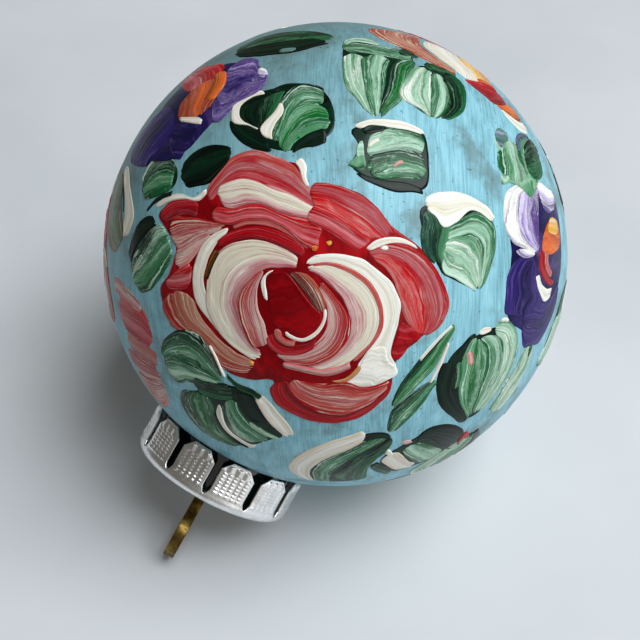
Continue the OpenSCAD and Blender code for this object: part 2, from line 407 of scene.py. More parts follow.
class Nodes:
    """A material's node tree, with short calls for the nodes used here."""

    def __init__(self, name):
        self.material = bpy.data.materials.new(name)
        self.material.use_nodes = True
        self.tree = self.material.node_tree
        self.shader = self.tree.nodes["Principled BSDF"]

    def add(self, kind, **settings):
        node = self.tree.nodes.new("ShaderNode" + kind)
        for key, value in settings.items():
            setattr(node, key, value)
        return node

    def link(self, value, socket):
        """Links an output to a socket, or sets the socket to a plain value."""
        if hasattr(value, "is_linked"):
            self.tree.links.new(value, socket)
        else:
            socket.default_value = value

    def math(self, operation, a, b=0.0, clamp=False):
        node = self.add("Math", operation=operation, use_clamp=clamp)
        for socket, value in zip(node.inputs, (a, b)):
            self.link(value, socket)
        return node.outputs[0]

    def times(self, a, b):
        return self.math("MULTIPLY", a, b)

    def swing(self, noise, reach):
        """Noise as a shift of up to half a reach either way."""
        return self.times(self.math("SUBTRACT", noise, 0.5), reach)

    def toward(self, x, z, way):
        """How far x and z lie along a way, given as its own x and z."""
        return self.math("ADD", self.times(x, way[0]), self.times(z, way[1]))

    def mix(self, factor, a, b, blend="MIX"):
        node = self.add("Mix", data_type="RGBA", blend_type=blend)
        self.link(factor, node.inputs[0])
        self.link(a, node.inputs[6])
        self.link(b, node.inputs[7])
        return node.outputs[2]

    def noise(self, vector, scale=1.0, detail=3.0, rough=0.55, distortion=0.0):
        node = self.add("TexNoise")
        node.inputs["Scale"].default_value = scale
        node.inputs["Detail"].default_value = detail
        node.inputs["Roughness"].default_value = rough
        node.inputs["Distortion"].default_value = distortion
        self.link(vector, node.inputs["Vector"])
        return node.outputs["Fac"]

    def streaks(self, along, side, slow, lines, seed):
        """Noise drawn out along a stroke, with about that many lines across it."""
        stretched = self.vector(self.times(along, slow), self.times(side, lines), seed)
        return self.noise(stretched, detail=4, rough=0.6)

    def band(self, value, low, high, to_low=0.0, to_high=1.0):
        """A soft step: to_low up to low, and to_high from high on."""
        node = self.add("MapRange", interpolation_type="SMOOTHSTEP")
        self.link(value, node.inputs[0])
        for socket, number in zip(node.inputs[1:5], (low, high, to_low, to_high)):
            socket.default_value = number
        return node.outputs[0]

    def ramp(self, value, stops):
        """Colours between stops, each given as a value and its colour."""
        node = self.add("ValToRGB")
        parts = node.color_ramp.elements
        while len(parts) < len(stops):
            parts.new(0.5)
        for part, (at, shade) in zip(parts, stops):
            part.position = at
            part.color = shade
        self.link(value, node.inputs[0])
        return node.outputs[0]

    def shades(self, value, stops):
        """The same, with display colours."""
        return self.ramp(value, [(at, linear(shade)) for at, shade in stops])

    def vector(self, x, y, z):
        node = self.add("CombineXYZ")
        for socket, value in zip(node.inputs, (x, y, z)):
            self.link(value, socket)
        return node.outputs[0]

    def places(self):
        """The object's own coordinates, in millimetres, as x, y and z."""
        scaled = self.add("VectorMath", operation="SCALE")
        self.link(self.add("TexCoord").outputs["Object"], scaled.inputs[0])
        scaled.inputs["Scale"].default_value = 1 / MM
        split = self.add("SeparateXYZ")
        self.link(scaled.outputs[0], split.inputs[0])
        return scaled.outputs[0], split.outputs

    def finish(self, base, rough, bump, bump_mm, **fixed):
        """Links colour, roughness and bump, and sets the constants on the shader itself."""
        self.link(base, self.shader.inputs["Base Color"])
        self.link(rough, self.shader.inputs["Roughness"])
        node = self.add("Bump")
        node.inputs["Distance"].default_value = bump_mm * MM
        node.inputs["Strength"].default_value = 1.0
        self.link(bump, node.inputs["Height"])
        self.link(node.outputs[0], self.shader.inputs["Normal"])
        for name, value in fixed.items():
            self.shader.inputs[name.replace("_", " ")].default_value = value
        return self.material


made_materials = {}


def paint_material(mix):
    """Paint drawn out by a brush: colours change across the stroke, in streaks along it."""
    if mix in made_materials:
        return made_materials[mix]
    across, light, light_amount, dark, dark_amount = MIXES[mix]
    m = Nodes("paint_" + mix)
    split = m.add("SeparateXYZ")
    m.link(m.add("UVMap", uv_map="brush").outputs[0], split.inputs[0])
    along, flat_side = split.outputs[0], split.outputs[1]

    # The streaks wander a little off the stroke's own line
    wave = m.streaks(along, flat_side, slow=0.11, lines=2.2, seed=20.0)
    side = m.math("ADD", flat_side, m.swing(wave, 0.6 if mix in PUSHED_ABOUT else 0.3))

    # Colours from edge to edge, run into each other
    drift = m.streaks(along, side, slow=0.04, lines=5, seed=2.0)
    moved = m.math("ADD", side, m.swing(drift, 0.8))
    base = m.ramp(moved, [((k + 0.5) / len(across), colour(name)) for k, name in enumerate(across)])

    # Broad dark streaks and finer light ones, which take turns along the stroke
    turn = m.band(m.streaks(along, flat_side, slow=0.13, lines=3, seed=40.0), 0.36, 0.64)
    coarse = m.streaks(along, side, slow=0.045, lines=9, seed=9.0)
    dark_part = m.band(coarse, 0.50, 0.66, 0, dark_amount * 1.7)
    dark_part = m.math("MULTIPLY", dark_part, m.math("SUBTRACT", 1.3, turn), clamp=True)
    base = m.mix(dark_part, base, colour(dark))
    fine = m.streaks(along, side, slow=0.04, lines=17, seed=3.0)
    light_part = m.band(fine, 0.47, 0.63, 0, light_amount * 2.0)
    light_part = m.math("MULTIPLY", light_part, turn, clamp=True)
    base = m.mix(light_part, base, colour(light))

    # Lines of single bristles, dark and light
    hair = m.streaks(along, side, slow=0.06, lines=44, seed=5.0)
    base = m.mix(m.band(hair, 0.42, 0.62, 0.0, 0.5), base, (0.6, 0.6, 0.6, 1), "MULTIPLY")
    thin = m.streaks(along, side, slow=0.08, lines=36, seed=31.0)
    base = m.mix(m.band(thin, 0.54, 0.68, 0.0, light_amount * 0.75), base, colour(light))

    rough = m.band(hair, 0.3, 0.7, 0.26, 0.42)
    bump = m.math("ADD", m.times(fine, 0.6), m.times(hair, 0.5))
    shine = dict(Coat_Weight=0.1, Coat_Roughness=0.08, Specular_IOR_Level=0.09)
    made_materials[mix] = m.finish(base, rough, bump, 0.045, **shine)
    return made_materials[mix]


def ground_material():
    """Pale blue brushed over grey, with fine streaks, grey patches, a painted shade toward one side and a few
    specks.
    """
    m = Nodes("ground_blue")
    vector, (x, y, z) = m.places()

    # The brush ran along one slanting way, and its marks are close together across it
    across = m.math("ADD", m.toward(x, z, (0.87, 0.49)), m.times(m.noise(vector, 0.05, 2), 2.5))
    along = m.times(m.toward(x, z, (0.49, -0.87)), 0.12)
    depth = m.times(y, 0.3)
    broad = m.noise(m.vector(along, m.times(across, 0.5), depth), detail=3)
    streaks = m.noise(m.vector(along, m.times(across, 4.2), depth), detail=5, rough=0.65)
    base = m.shades(broad, [(0.30, (0.45, 0.65, 0.70)), (0.5, (0.51, 0.73, 0.79)), (0.7, (0.57, 0.79, 0.85))])
    base = m.mix(m.band(streaks, 0.47, 0.66, 0, 0.6), base, linear((0.58, 0.79, 0.85)))
    base = m.mix(m.band(streaks, 0.52, 0.36, 0, 0.5), base, linear((0.38, 0.54, 0.58)))

    # Grey patches, and a painted shade with a painted dark reflection: grey that grows toward one side of the
    # ball, the edge at the top of the camera's view
    smudge = m.noise(vector, 0.11, 5, 0.62)
    base = m.mix(m.band(smudge, 0.50, 0.68, 0, 0.7), base, linear((0.38, 0.46, 0.46)))
    over_middle = m.math("SUBTRACT", z, BALL.z / MM)
    # Painted shade and dark reflection: how far a point lies toward that edge, loosened by the patches' noise
    painted_limb_shade = m.math("ADD", m.toward(x, over_middle, (0.864, -0.504)), m.swing(smudge, 30))
    base = m.mix(m.band(painted_limb_shade, 4, 36, 0, 0.75), base, linear((0.34, 0.43, 0.42)))

    speck = m.noise(vector, 1.7, 2, 0.5)
    base = m.mix(m.band(speck, 0.67, 0.73, 0, 0.65), base, linear((0.16, 0.24, 0.26)))
    rough = m.band(streaks, 0.35, 0.65, 0.36, 0.5)
    shine = dict(Coat_Weight=0.05, Coat_Roughness=0.12, Specular_IOR_Level=0.15)
    return m.finish(base, rough, streaks, 0.05, **shine)


def glass_material():
    """Dark bottle-green glass, which is nearly black from outside."""
    m = Nodes("bottle_glass")
    vector, _ = m.places()
    tone = m.noise(vector, 0.12, 3)
    base = m.shades(tone, [(0.3, (0.02, 0.05, 0.045)), (0.7, (0.05, 0.13, 0.11))])
    rough = m.band(m.noise(vector, 0.5, 3), 0.3, 0.7, 0.05, 0.16)
    return m.finish(base, rough, tone, 0.02, Coat_Weight=0.6, Coat_Roughness=0.05, IOR=1.52)


def cap_material():
    """Bright stamped aluminium with fine drawing lines and a little grime."""
    m = Nodes("cap_aluminium")
    vector, (x, y, z) = m.places()
    grime = m.noise(vector, 0.35, 5, 0.65)
    base = m.shades(grime, [(0.25, (0.80, 0.79, 0.77)), (0.55, (0.95, 0.95, 0.95))])
    lines = m.noise(m.vector(m.times(x, 0.8), m.times(y, 0.8), m.times(z, 9)), detail=3)
    fine = m.noise(vector, 4.0, 3, 0.6)
    rough = m.math("ADD", m.band(grime, 0.3, 0.7, 0.28, 0.16), m.times(fine, 0.14))
    bump = m.math("ADD", m.times(lines, 0.5), fine)
    return m.finish(base, rough, bump, 0.03, Metallic=1.0)


def brass_material():
    """Old brass: worn yellow metal under brown patina."""
    m = Nodes("old_brass")
    vector, (x, y, z) = m.places()
    patina = m.noise(vector, 0.55, 5, 0.62, 0.4)
    browns = [(0.28, (0.21, 0.16, 0.08)), (0.47, (0.36, 0.29, 0.14)), (0.66, (0.58, 0.48, 0.25))]
    base = m.shades(patina, browns)
    lines = m.noise(m.vector(m.times(x, 12), m.times(y, 0.8), m.times(z, 0.8)), detail=3)
    rough = m.band(patina, 0.3, 0.7, 0.58, 0.30)
    bump = m.math("ADD", m.times(patina, 0.7), m.times(lines, 0.5))
    return m.finish(base, rough, bump, 0.05, Metallic=1.0)


# ---------- Plain shells ----------
def join_rings(edit, first, second):
    """Closes the band between two rings that have the same count of points."""
    for k in range(len(first)):
        edit.faces.new((first[k], first[k - 1], second[k - 1], second[k]))


def finished_mesh(edit, name, material):
    """Turns a bmesh into a smooth mesh. Faces with more than four corners are flat ends."""
    bmesh.ops.recalc_face_normals(edit, faces=edit.faces)
    for face in edit.faces:
        face.smooth = len(face.verts) <= 4
    mesh = bpy.data.meshes.new(name)
    edit.to_mesh(mesh)
    edit.free()
    mesh.materials.append(material)
    return mesh


def finish_glass():
    """Gives the frame's own glass ball its material and smooth sides."""
    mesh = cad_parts["glass_ball"].data
    mesh.materials.clear()
    mesh.materials.append(glass_material())
    for face in mesh.polygons:
        face.use_smooth = True


def make_ground_coat():
    """A thin closed shell over the ball, open where the neck comes through."""
    hole_r, skin = 13.2 * MM, 0.22 * MM
    rows, columns = 110, 240
    down = np.linspace(math.asin(hole_r / BALL_R), math.pi, rows)[:-1]
    around = np.linspace(0, 2 * math.pi, columns, endpoint=False)
    edit = bmesh.new()
    sheets = []
    for radius in (BALL_R, BALL_R - skin):
        rings = []
        for angle in down:
            out, up = radius * math.sin(angle), radius * math.cos(angle)
            places = [BALL + Vector((out * math.cos(t), out * math.sin(t), up)) for t in around]
            rings.append([edit.verts.new(place) for place in places])
        for upper, lower in zip(rings, rings[1:]):
            join_rings(edit, upper, lower)
        pole = edit.verts.new(BALL - Vector((0, 0, radius)))
        for k in range(columns):
            edit.faces.new((rings[-1][k], rings[-1][k - 1], pole))
        sheets.append(rings)
    join_rings(edit, sheets[0][0], sheets[1][0])
    mesh = finished_mesh(edit, "ground_coat", ground_material())
    return add_piece(mesh, "blue_ground", "ball", "ground_paint", "ground_coat")


def make_cap():
    """Stamped sheet: a flat top with a bead, and a skirt cut into tabs with an embossed grid."""
    tabs, across, radius = 12, 36, cap_high.x
    bead, bead_inset, bead_width = 0.25 * MM, 1.8 * MM, 0.28 * MM
    top = cap_high.z - bead
    height = top - cap_low.z
    corner, hole = 1.5 * MM, 1.5 * MM
    slot, slot_start, slot_round = 1.45 * MM, 1.6 * MM, 1.1 * MM
    half_angle = math.pi / tabs
    pitch = 2 * radius * math.sin(half_angle)
    tip, shoulder = 0.4 * pitch, 1.6 * MM
    flat_from, flattened = 2 * MM, 0.7
    sheet = 0.35 * MM

    # The top's section as pairs of radius and depth, and the depths of the skirt's rows
    plate = [(hole + (radius - corner - hole) * k / 26, 0.0) for k in range(27)]
    arc = [math.radians(90 * k / 10) for k in range(1, 11)]
    plate += [(radius - corner + corner * math.sin(a), corner * (1 - math.cos(a))) for a in arc]
    skirt = np.linspace(corner, height, 56)[1:]

    edit = bmesh.new()
    for tab in range(tabs):
        middle = (2 * tab + 1) * half_angle
        angles = [2 * (tab + k / across) * half_angle for k in range(across + 1)]
        rows = []
        for r, depth in plate:
            lift = bead * math.exp(-(((r - radius + bead_inset) / bead_width) ** 2))
            rows.append([(r * math.cos(a), r * math.sin(a), top - depth + lift) for a in angles])
        for depth in skirt:
            opened = min(max((depth - slot_start) / slot_round, 0), 1)
            half = (pitch - slot * math.sqrt(opened)) / 2
            past = max(depth - (height - shoulder), 0) / shoulder
            half = half * (1 - past) + tip / 2 * past
            ease = min((depth - corner) / flat_from, 1) * flattened
            row = []
            for k in range(across + 1):
                s = (2 * k / across - 1) * half
                turn = s / radius * half_angle / math.sin(half_angle)
                chord = radius * math.cos(half_angle) / math.cos(turn)
                r = radius * (1 - ease) + chord * ease + emboss(s / MM, depth / MM, half / MM, height / MM)
                row.append((r * math.cos(middle + turn), r * math.sin(middle + turn), top - depth))
            rows.append(row)
        verts = [[edit.verts.new(p) for p in row] for row in rows]
        for upper, lower in zip(verts, verts[1:]):
            for k in range(across):
                edit.faces.new((upper[k], lower[k], lower[k + 1], upper[k + 1]))
    bmesh.ops.remove_doubles(edit, verts=edit.verts, dist=0.004 * MM)
    mesh = finished_mesh(edit, "cap", cap_material())
    piece = add_piece(mesh, "stamped_cap", "cap", "cap_metal", "cap")
    solid = piece.modifiers.new("sheet", "SOLIDIFY")
    solid.thickness = sheet
    solid.offset = -1
    return piece


def sawtooth(value, pitch):
    """From -1 to 1 over each pitch, 0 in its middle."""
    return value / pitch % 1 * 2 - 1


def emboss(s, depth, half, height):
    """How far the sheet is pressed outward, in metres, at a place on a tab given in mm."""
    edge, grid_top, grid_bottom = 0.3, 2.2, 6.5
    square, row, rib = 5.4 / 5, (grid_bottom - grid_top) / 7, 1.5
    square_rise, rib_rise, panel_rise = 0.20, 0.24, 0.05
    border = min(half - abs(s), height - depth - 0.1, depth - 1.9)
    if border < edge:
        return 0.0
    if depth < grid_bottom:
        a = sawtooth(s + square / 2, square)
        b = sawtooth(depth - grid_top, row)
        bump = square_rise * (1 - max(abs(a), abs(b)))
    else:
        bump = rib_rise * (1 - abs(sawtooth(s + rib / 2, rib)))
    return (bump * min((border - edge) / 0.25, 1) + panel_rise) * MM


def arc(centre_u, centre_v, radius, start, sweep, steps):
    """Points on an arc, each with the direction in which the path runs there."""
    way = 1 if sweep > 0 else -1
    found = []
    for k in range(steps + 1):
        a = start + sweep * k / steps
        along = (-math.sin(a) * way, math.cos(a) * way)
        found.append((centre_u + radius * math.cos(a), centre_v + radius * math.sin(a), *along))
    return found


def hanger_path(strip_t):
    """The strip's centre line in mm: from foot to foot, over the eye whose middle is at 0, 0."""
    eye_r, fillet, bend = 4.0, 1.6, 3.0
    rise, sheet, below = 11.2, 0.4, 1.5
    lean, leg, foot, foot_len = math.radians(40), 13.8, 2.5, 3.0
    mid = eye_r + strip_t / 2
    pinch = (0.1 + strip_t) / 2
    fillet_a = math.acos((pinch + fillet) / (mid + fillet))
    fillet_v = -(mid + fillet) * math.sin(fillet_a)
    pinch_end = -rise - sheet - below
    half = arc(0, 0, mid, math.pi / 2, -(math.pi / 2 + fillet_a), 40)
    half += arc(pinch + fillet, fillet_v, fillet, math.pi - fillet_a, fillet_a, 10)[1:]
    half += arc(pinch + bend, pinch_end, bend, math.pi, lean, 10)
    end_u = pinch + bend * (1 - math.cos(lean)) + leg * math.sin(lean)
    end_v = pinch_end - bend * math.sin(lean) - leg * math.cos(lean)
    half += arc(end_u - foot * math.cos(lean), end_v - foot * math.sin(lean), foot, lean, -lean, 8)
    last_u, last_v, _, _ = half[-1]
    half.append((last_u, last_v - foot_len, 0, -1))
    other = [(-u, v, du, -dv) for u, v, du, dv in half[1:]]
    return other[::-1] + half


def make_hanger():
    """A flat brass strip bent into an eye, with its two spring legs inside the neck."""
    strip_t, corner = 0.8, 0.14
    strip_w = (hanger_high.x - hanger_low.x) / MM
    section = []
    for quarter, (side_t, side_w) in enumerate(((1, 1), (-1, 1), (-1, -1), (1, -1))):
        for k in range(4):
            a = math.radians(90 * quarter + 30 * k)
            t = side_t * (strip_t / 2 - corner) + corner * math.cos(a)
            w = side_w * (strip_w / 2 - corner) + corner * math.sin(a)
            section.append((t, w))
    edit = bmesh.new()
    rings = []
    for u, v, du, dv in hanger_path(strip_t):
        places = [(w * MM, (u + dv * t) * MM, (v - du * t) * MM) for t, w in section]
        rings.append([edit.verts.new(place) for place in places])
    for first, second in zip(rings, rings[1:]):
        join_rings(edit, first, second)
    edit.faces.new(rings[0])
    edit.faces.new(rings[-1][::-1])
    mesh = finished_mesh(edit, "hanger", brass_material())
    return add_piece(mesh, "brass_hanger", "hanger", "hanger_brass", "hanger")


# ---------- What is painted on the front ----------
# A row is a mix and the two edges of a stroke, or a mix and the outline of a filled patch.
# x and y are millimetres walked over the ball from the middle of the front.
FRONT = dict(lon=0, lat=-0.7, roll=209.3)

ROSE = [
    ("base_red", [(-15, 15), (-11, 15.6), (-7.5, 14), (-5, 13.2), (-4, 10), (1, 10), (5, 8), (8, 4.5),
      (12, 1.5), (14.5, -2), (16.3, -5.5), (16, -9), (13, -11.3), (9, -15), (8.5, -20), (6, -23),
      (2, -25), (-2, -25.5), (-7, -24), (-9.5, -21.5), (-9.2, -18.5), (-13, -18.5), (-17, -17.3),
      (-20, -13), (-24, -11.2), (-26.5, -11), (-27.8, -7), (-28, -4.5), (-26, -2.5),
      (-24.5, 1.5), (-26.5, 4.5), (-28.5, 7), (-26, 8.5), (-20, 9), (-18, 11.5)]),
    # Petals at the top and the left
    ("top_petal", [(-19.5, 9), (-17.5, 12.2), (-15, 14.8), (-12, 15.5), (-9, 14.6), (-6, 13), (-3.8, 10),
      (-1, 6.2)],
     [(-18.5, 8), (-17, 9.6), (-14.5, 11), (-12, 11), (-9.5, 9.8), (-6.5, 8.6), (-3.5, 7.2), (-1, 5.8)]),
    ("white", [(-6, 13.8), (-5, 12.5), (-4.3, 10.5), (-3.5, 9.5)],
     [(-5.2, 14.7), (-4, 13), (-4, 11), (-3.2, 9.4)]),
    ("crimson", [(-28.4, 6.6), (-26, 8.6), (-23, 8.8), (-19.8, 8.5)],
     [(-27, 5.4), (-25, 6), (-22.5, 6.6), (-19.5, 5.6)]),
    ("cream", [(-30, 8), (-27, 9.6), (-24, 9.9), (-21, 9), (-19, 10.6)],
     [(-28, 8), (-26, 8.8), (-23, 8.9), (-20.3, 8.5), (-18.6, 10.2)]),
    ("pink_fade", [(-26.8, 5.2), (-24.5, 6.2), (-21, 5.8), (-17, 5), (-14.5, 5.4)],
     [(-24.6, 1.5), (-23.5, 1), (-21.5, 2), (-19, 3.2), (-16.2, 3.9)]),
    ("blush", [(-24.6, 1.7), (-22.5, 2.6), (-20, 3.8), (-17, 4.2)],
     [(-25, -2.3), (-22.7, -1.5), (-20.6, 0.5), (-18.8, 2.2)]),
    ("crimson_pink", [(-25, -2.2), (-22.8, -1.4), (-21, -0.3)],
     [(-28, -4.4), (-25, -4.8), (-22, -4.6), (-21, -3.5)]),
    ("apricot", [(-27.5, -5), (-27.6, -8), (-25.5, -11), (-21.5, -12.5), (-18.5, -16), (-15, -17.2),
      (-12, -16.8)],
     [(-21.3, -4.5), (-21, -7), (-19.8, -9.5), (-17.5, -12), (-15, -14), (-12.5, -15), (-11.5, -15.3)]),
    ("yellow", [(-12.8, -15.3), (-12.3, -15.9), (-11.8, -15.5), (-12.3, -15)]),
    # Bands round the heart, on the left
    ("cream", [(-14.6, 4.2), (-16.5, 3.8), (-18.5, 2.7), (-20, 0.8), (-21, -2), (-21.1, -5), (-20.3, -7.2),
      (-18.6, -9.3), (-16.5, -11.8)],
     [(-15.2, 3.6), (-17, 2.2), (-18.4, 0), (-19.3, -2.5), (-19.2, -4.5), (-18.2, -7), (-17, -9.5),
      (-15.5, -11.5)]),
    ("cream_blush", [(-4.5, -0.4), (-7.5, 1.4), (-11, 2.4), (-14, 2.1), (-16.6, 0.8), (-18.2, -1.5),
      (-18.8, -4.5),
      (-19, -7), (-17.8, -10), (-15.5, -12.7), (-12.5, -14.5), (-10.6, -14.9)],
     [(-4.8, -1.3), (-7.5, -1.2), (-10, -1.6), (-11.8, -3), (-13.2, -4.8), (-13.9, -7), (-13.3, -9.5),
      (-12.4, -11.5), (-11.6, -13), (-10.2, -13.9)]),
    ("slit", [(-17, 1.5), (-18.2, -0.5), (-19.2, -3)], [(-16.2, 1.2), (-17.5, -1), (-18.9, -4.2)]),
    ("crimson", [(-17.5, 1.8), (-15, 3.5), (-12, 4.3), (-9, 4), (-6, 2.7), (-3.5, 0.6)],
     [(-16.5, 1.3), (-14, 2.4), (-11.5, 2.7), (-8.5, 2), (-5.5, 0.7), (-3.8, -0.2)]),
    ("salmon", [(-15, 4.3), (-12.5, 5.2), (-9.5, 5.2), (-7, 4), (-4.5, 2.2), (-3, 0.8)],
     [(-14.8, 3.9), (-12, 4.6), (-9, 4.2), (-6, 2.9), (-3.5, 0.8)]),
    ("crimson_pink", [(-18, 7.5), (-15, 6.9), (-12, 7.4), (-10, 7.3), (-7, 6), (-4, 5.4), (-1.5, 5.3)],
     [(-18.5, 5.6), (-15.5, 4.8), (-12, 5.4), (-9, 5.1), (-6.5, 3.8), (-4, 1.6), (-1, 0.8)]),
    ("cream_blush", [(-17.8, 10), (-15, 11), (-12, 11), (-9, 9.6), (-6, 8.4), (-3.5, 7), (-1, 5.6)],
     [(-17, 8.3), (-15, 7), (-12.5, 7.6), (-10, 7.5), (-7.5, 6.3), (-5, 5.6), (-1, 5.5)]),
    # Petals at the upper right and the right
    ("red_streaks", [(-4.2, 10.2), (-1, 10.2), (2.5, 9), (5.5, 7), (7.8, 4.2), (8.6, 2.8)],
     [(-3.6, 7.4), (-1, 6.4), (1.5, 5), (3.8, 3.4), (6, 2.2)]),
    ("crimson_pink", [(-3.6, 7.6), (-1, 6.6), (1.5, 5.2), (4, 3.6), (6.2, 2.3)],
     [(-4.5, 4.8), (-2, 4.2), (0.5, 2.8), (2.5, 1.2), (4.2, 0.5)]),
    ("orange", [(-3.2, 1.5), (-2.5, 1.7), (-2.4, 1.1), (-3, 0.9)]),
    ("yellow", [(-1.2, 2.1), (-0.5, 2.3), (-0.5, 1.8), (-1, 1.6)]),
    ("red_streaks", [(3.9, 0.8), (7, 2), (10.5, 1.4), (13.5, -0.8), (15.5, -4), (16.4, -7), (15, -10),
      (12.5, -11.5)],
     [(5, 0), (7, -1.5), (8.5, -4), (9.2, -6.5), (10, -8.5), (11.2, -10.2), (12, -11.3)]),
    ("white", [(3.8, 0.9), (5.5, 2.3), (7.5, 2.8), (9.5, 2.6), (12, 1.2)],
     [(4.5, 0.7), (6, 1.5), (8, 2), (10, 1.8), (12, 0.9)]),
    ("cream", [(6.2, 1.2), (6.8, 1.7), (7.4, 1.3), (6.8, 0.9)]),
    ("crimson", [(9.2, -9), (11.5, -10.2), (12.5, -11.3), (11, -12.5), (10.3, -13.6), (9, -15),
      (8, -14.6), (8, -13), (8.8, -11)]),
    # The ribbon on the right of the heart
    ("white", [(-4.3, -1), (-2.5, 0.1), (0.5, 0.4), (3.5, -0.3), (6, -2), (8, -4), (9, -6.5), (8.8, -9),
      (8, -12),
      (7.8, -14), (8.8, -15.5), (9.3, -17), (8.6, -18.5)],
     [(-3.9, -1.1), (-1.5, -0.5), (1, -1), (3.5, -2.3), (5.3, -4), (6.5, -6.5), (6.8, -9), (6, -11.5),
      (4.5, -13.5), (3.2, -15.5), (1.5, -17.5)]),
    ("cream_blush", [(-4, -1.2), (-1, -1), (1.5, -1.9), (4, -3.6), (5.6, -6), (6.1, -9), (5, -11.8),
      (3, -14),
      (0.5, -15.8), (-2, -16.6)],
     [(-4, -1.4), (-2, -2.4), (0.5, -4.8), (2, -7.5), (2.3, -10), (1.3, -12.5), (-0.5, -14.2),
      (-3, -15.3), (-5, -15.6)]),
    ("red_salmon", [(-3.8, -1), (-1, -0.6), (2, -1.4), (4.8, -3.3), (6.4, -6), (6.8, -9), (6.2, -11),
      (4.2, -13.5), (2.5, -15.2)],
     [(-3.5, -1.2), (-1, -1), (1.5, -1.9), (4, -3.6), (5.6, -6), (6.2, -9), (5.2, -11.6), (3.5, -13.5),
      (2, -15)]),
    ("cream", [(3.6, -14.8), (5, -13), (7, -12.5), (7.8, -14.5), (9, -15.8), (9.3, -17.2), (8, -18),
      (6, -19),
      (3.5, -19.1), (1.5, -18.5), (2.5, -17), (3.4, -15.8)]),
    ("ochre", [(-1, -18), (1.5, -17.5), (3, -16), (3.5, -15)],
     [(0, -18.3), (2, -17.9), (3.5, -16.4), (4, -15)]),
    # The petal at the bottom
    ("salmon", [(-7, -17.6), (-6.5, -20), (-5, -22), (-2.5, -23.6), (0.5, -24.2), (3.5, -23.3),
      (6, -21.6), (8, -19.4)],
     [(-5.5, -17.6), (-4, -18.4), (-1, -18.5), (1.5, -18.2), (4, -19.1), (6.5, -18.9), (8.6, -17.8)]),
    ("crimson", [(-9.2, -18.2), (-9.8, -20.5), (-8.5, -22.8), (-5, -24.9), (-1, -25.7), (3, -25),
      (6, -22.8), (8, -20)],
     [(-7, -17.6), (-6.5, -20), (-5, -22), (-2.5, -23.6), (0.5, -24.2), (3.5, -23.3), (6, -21.6),
      (8, -19.4)]),
    # Rings round the heart, and the heart
    ("pink_fade", [(-2.3, -3), (-0.5, -5), (1.5, -7.5), (2, -10), (1, -12.8), (-1.2, -14.6), (-4, -15.4),
      (-8, -14.9)],
     [(-2.5, -3.8), (-1.2, -6), (-0.9, -8.5), (-1.6, -10.8), (-3.3, -12.5), (-5.5, -13.4), (-8, -13.8),
      (-9.5, -13.5)]),
    ("blush", [(-8, -15.8), (-4.5, -16.6), (-1, -17.2), (2, -16), (3, -15)],
     [(-7.8, -15), (-5, -15.5), (-2, -16), (1, -15.3), (2.5, -14.4)]),
    ("pink_fade", [(-9.5, -1.5), (-11.5, -2.8), (-13.3, -5), (-13.8, -7.5), (-13, -10.5), (-12, -12.8),
      (-10.8, -13.6)],
     [(-9.8, -2), (-10.8, -3.5), (-11, -5.5), (-10.8, -7.5), (-10, -9.5), (-9.6, -11.5), (-9.8, -13)]),
    ("crimson", [(-9.8, -10.5), (-9.5, -12.5), (-7.5, -13.9), (-4.5, -13.6), (-2, -12)],
     [(-8.5, -10), (-8, -11.8), (-6.3, -12.4), (-4, -12.2), (-2, -11)]),
    ("brown", [(-6.8, -1.8), (-5.3, -3.3), (-3.8, -5.2), (-2.5, -7.2), (-1.8, -7.9)],
     [(-5, -1.6), (-3, -3), (-1.9, -4.8), (-1.4, -6.5), (-1.5, -7.7)]),
    ("drop", [(-7.8, -1.6), (-6.6, -2), (-5.5, -3.2), (-4.2, -5), (-2.8, -6.8), (-1.6, -8), (-2, -9.5),
      (-3, -10.6),
      (-4.5, -11), (-5.8, -10.6), (-7, -9.8), (-8.2, -9.9), (-9.2, -8), (-9.5, -5.5), (-9.6, -3),
      (-9, -1.9)]),
    ("white", [(-7.5, -10.2), (-6.5, -11.3), (-4.5, -11.8), (-2.5, -10.8), (-1.3, -8.8), (-1.1, -6.5)],
     [(-7.2, -10), (-6.2, -10.8), (-4.5, -11.3), (-2.8, -10.3), (-1.7, -8.6), (-1.5, -6.6)]),
    ("white", [(-8, -1.6), (-9.3, -2), (-10.3, -3.2), (-10.2, -4.8), (-9.6, -6.5)],
     [(-8.6, -1.9), (-9.5, -2.5), (-9.7, -3.6), (-9.5, -4.8), (-9.4, -6.4)]),
    ("salmon", [(-8.6, -9.6), (-8.5, -11.2), (-7, -12.4), (-5, -12.4)],
     [(-7.5, -10), (-7.4, -11.2), (-6.3, -11.6), (-5, -11.6)]),
]

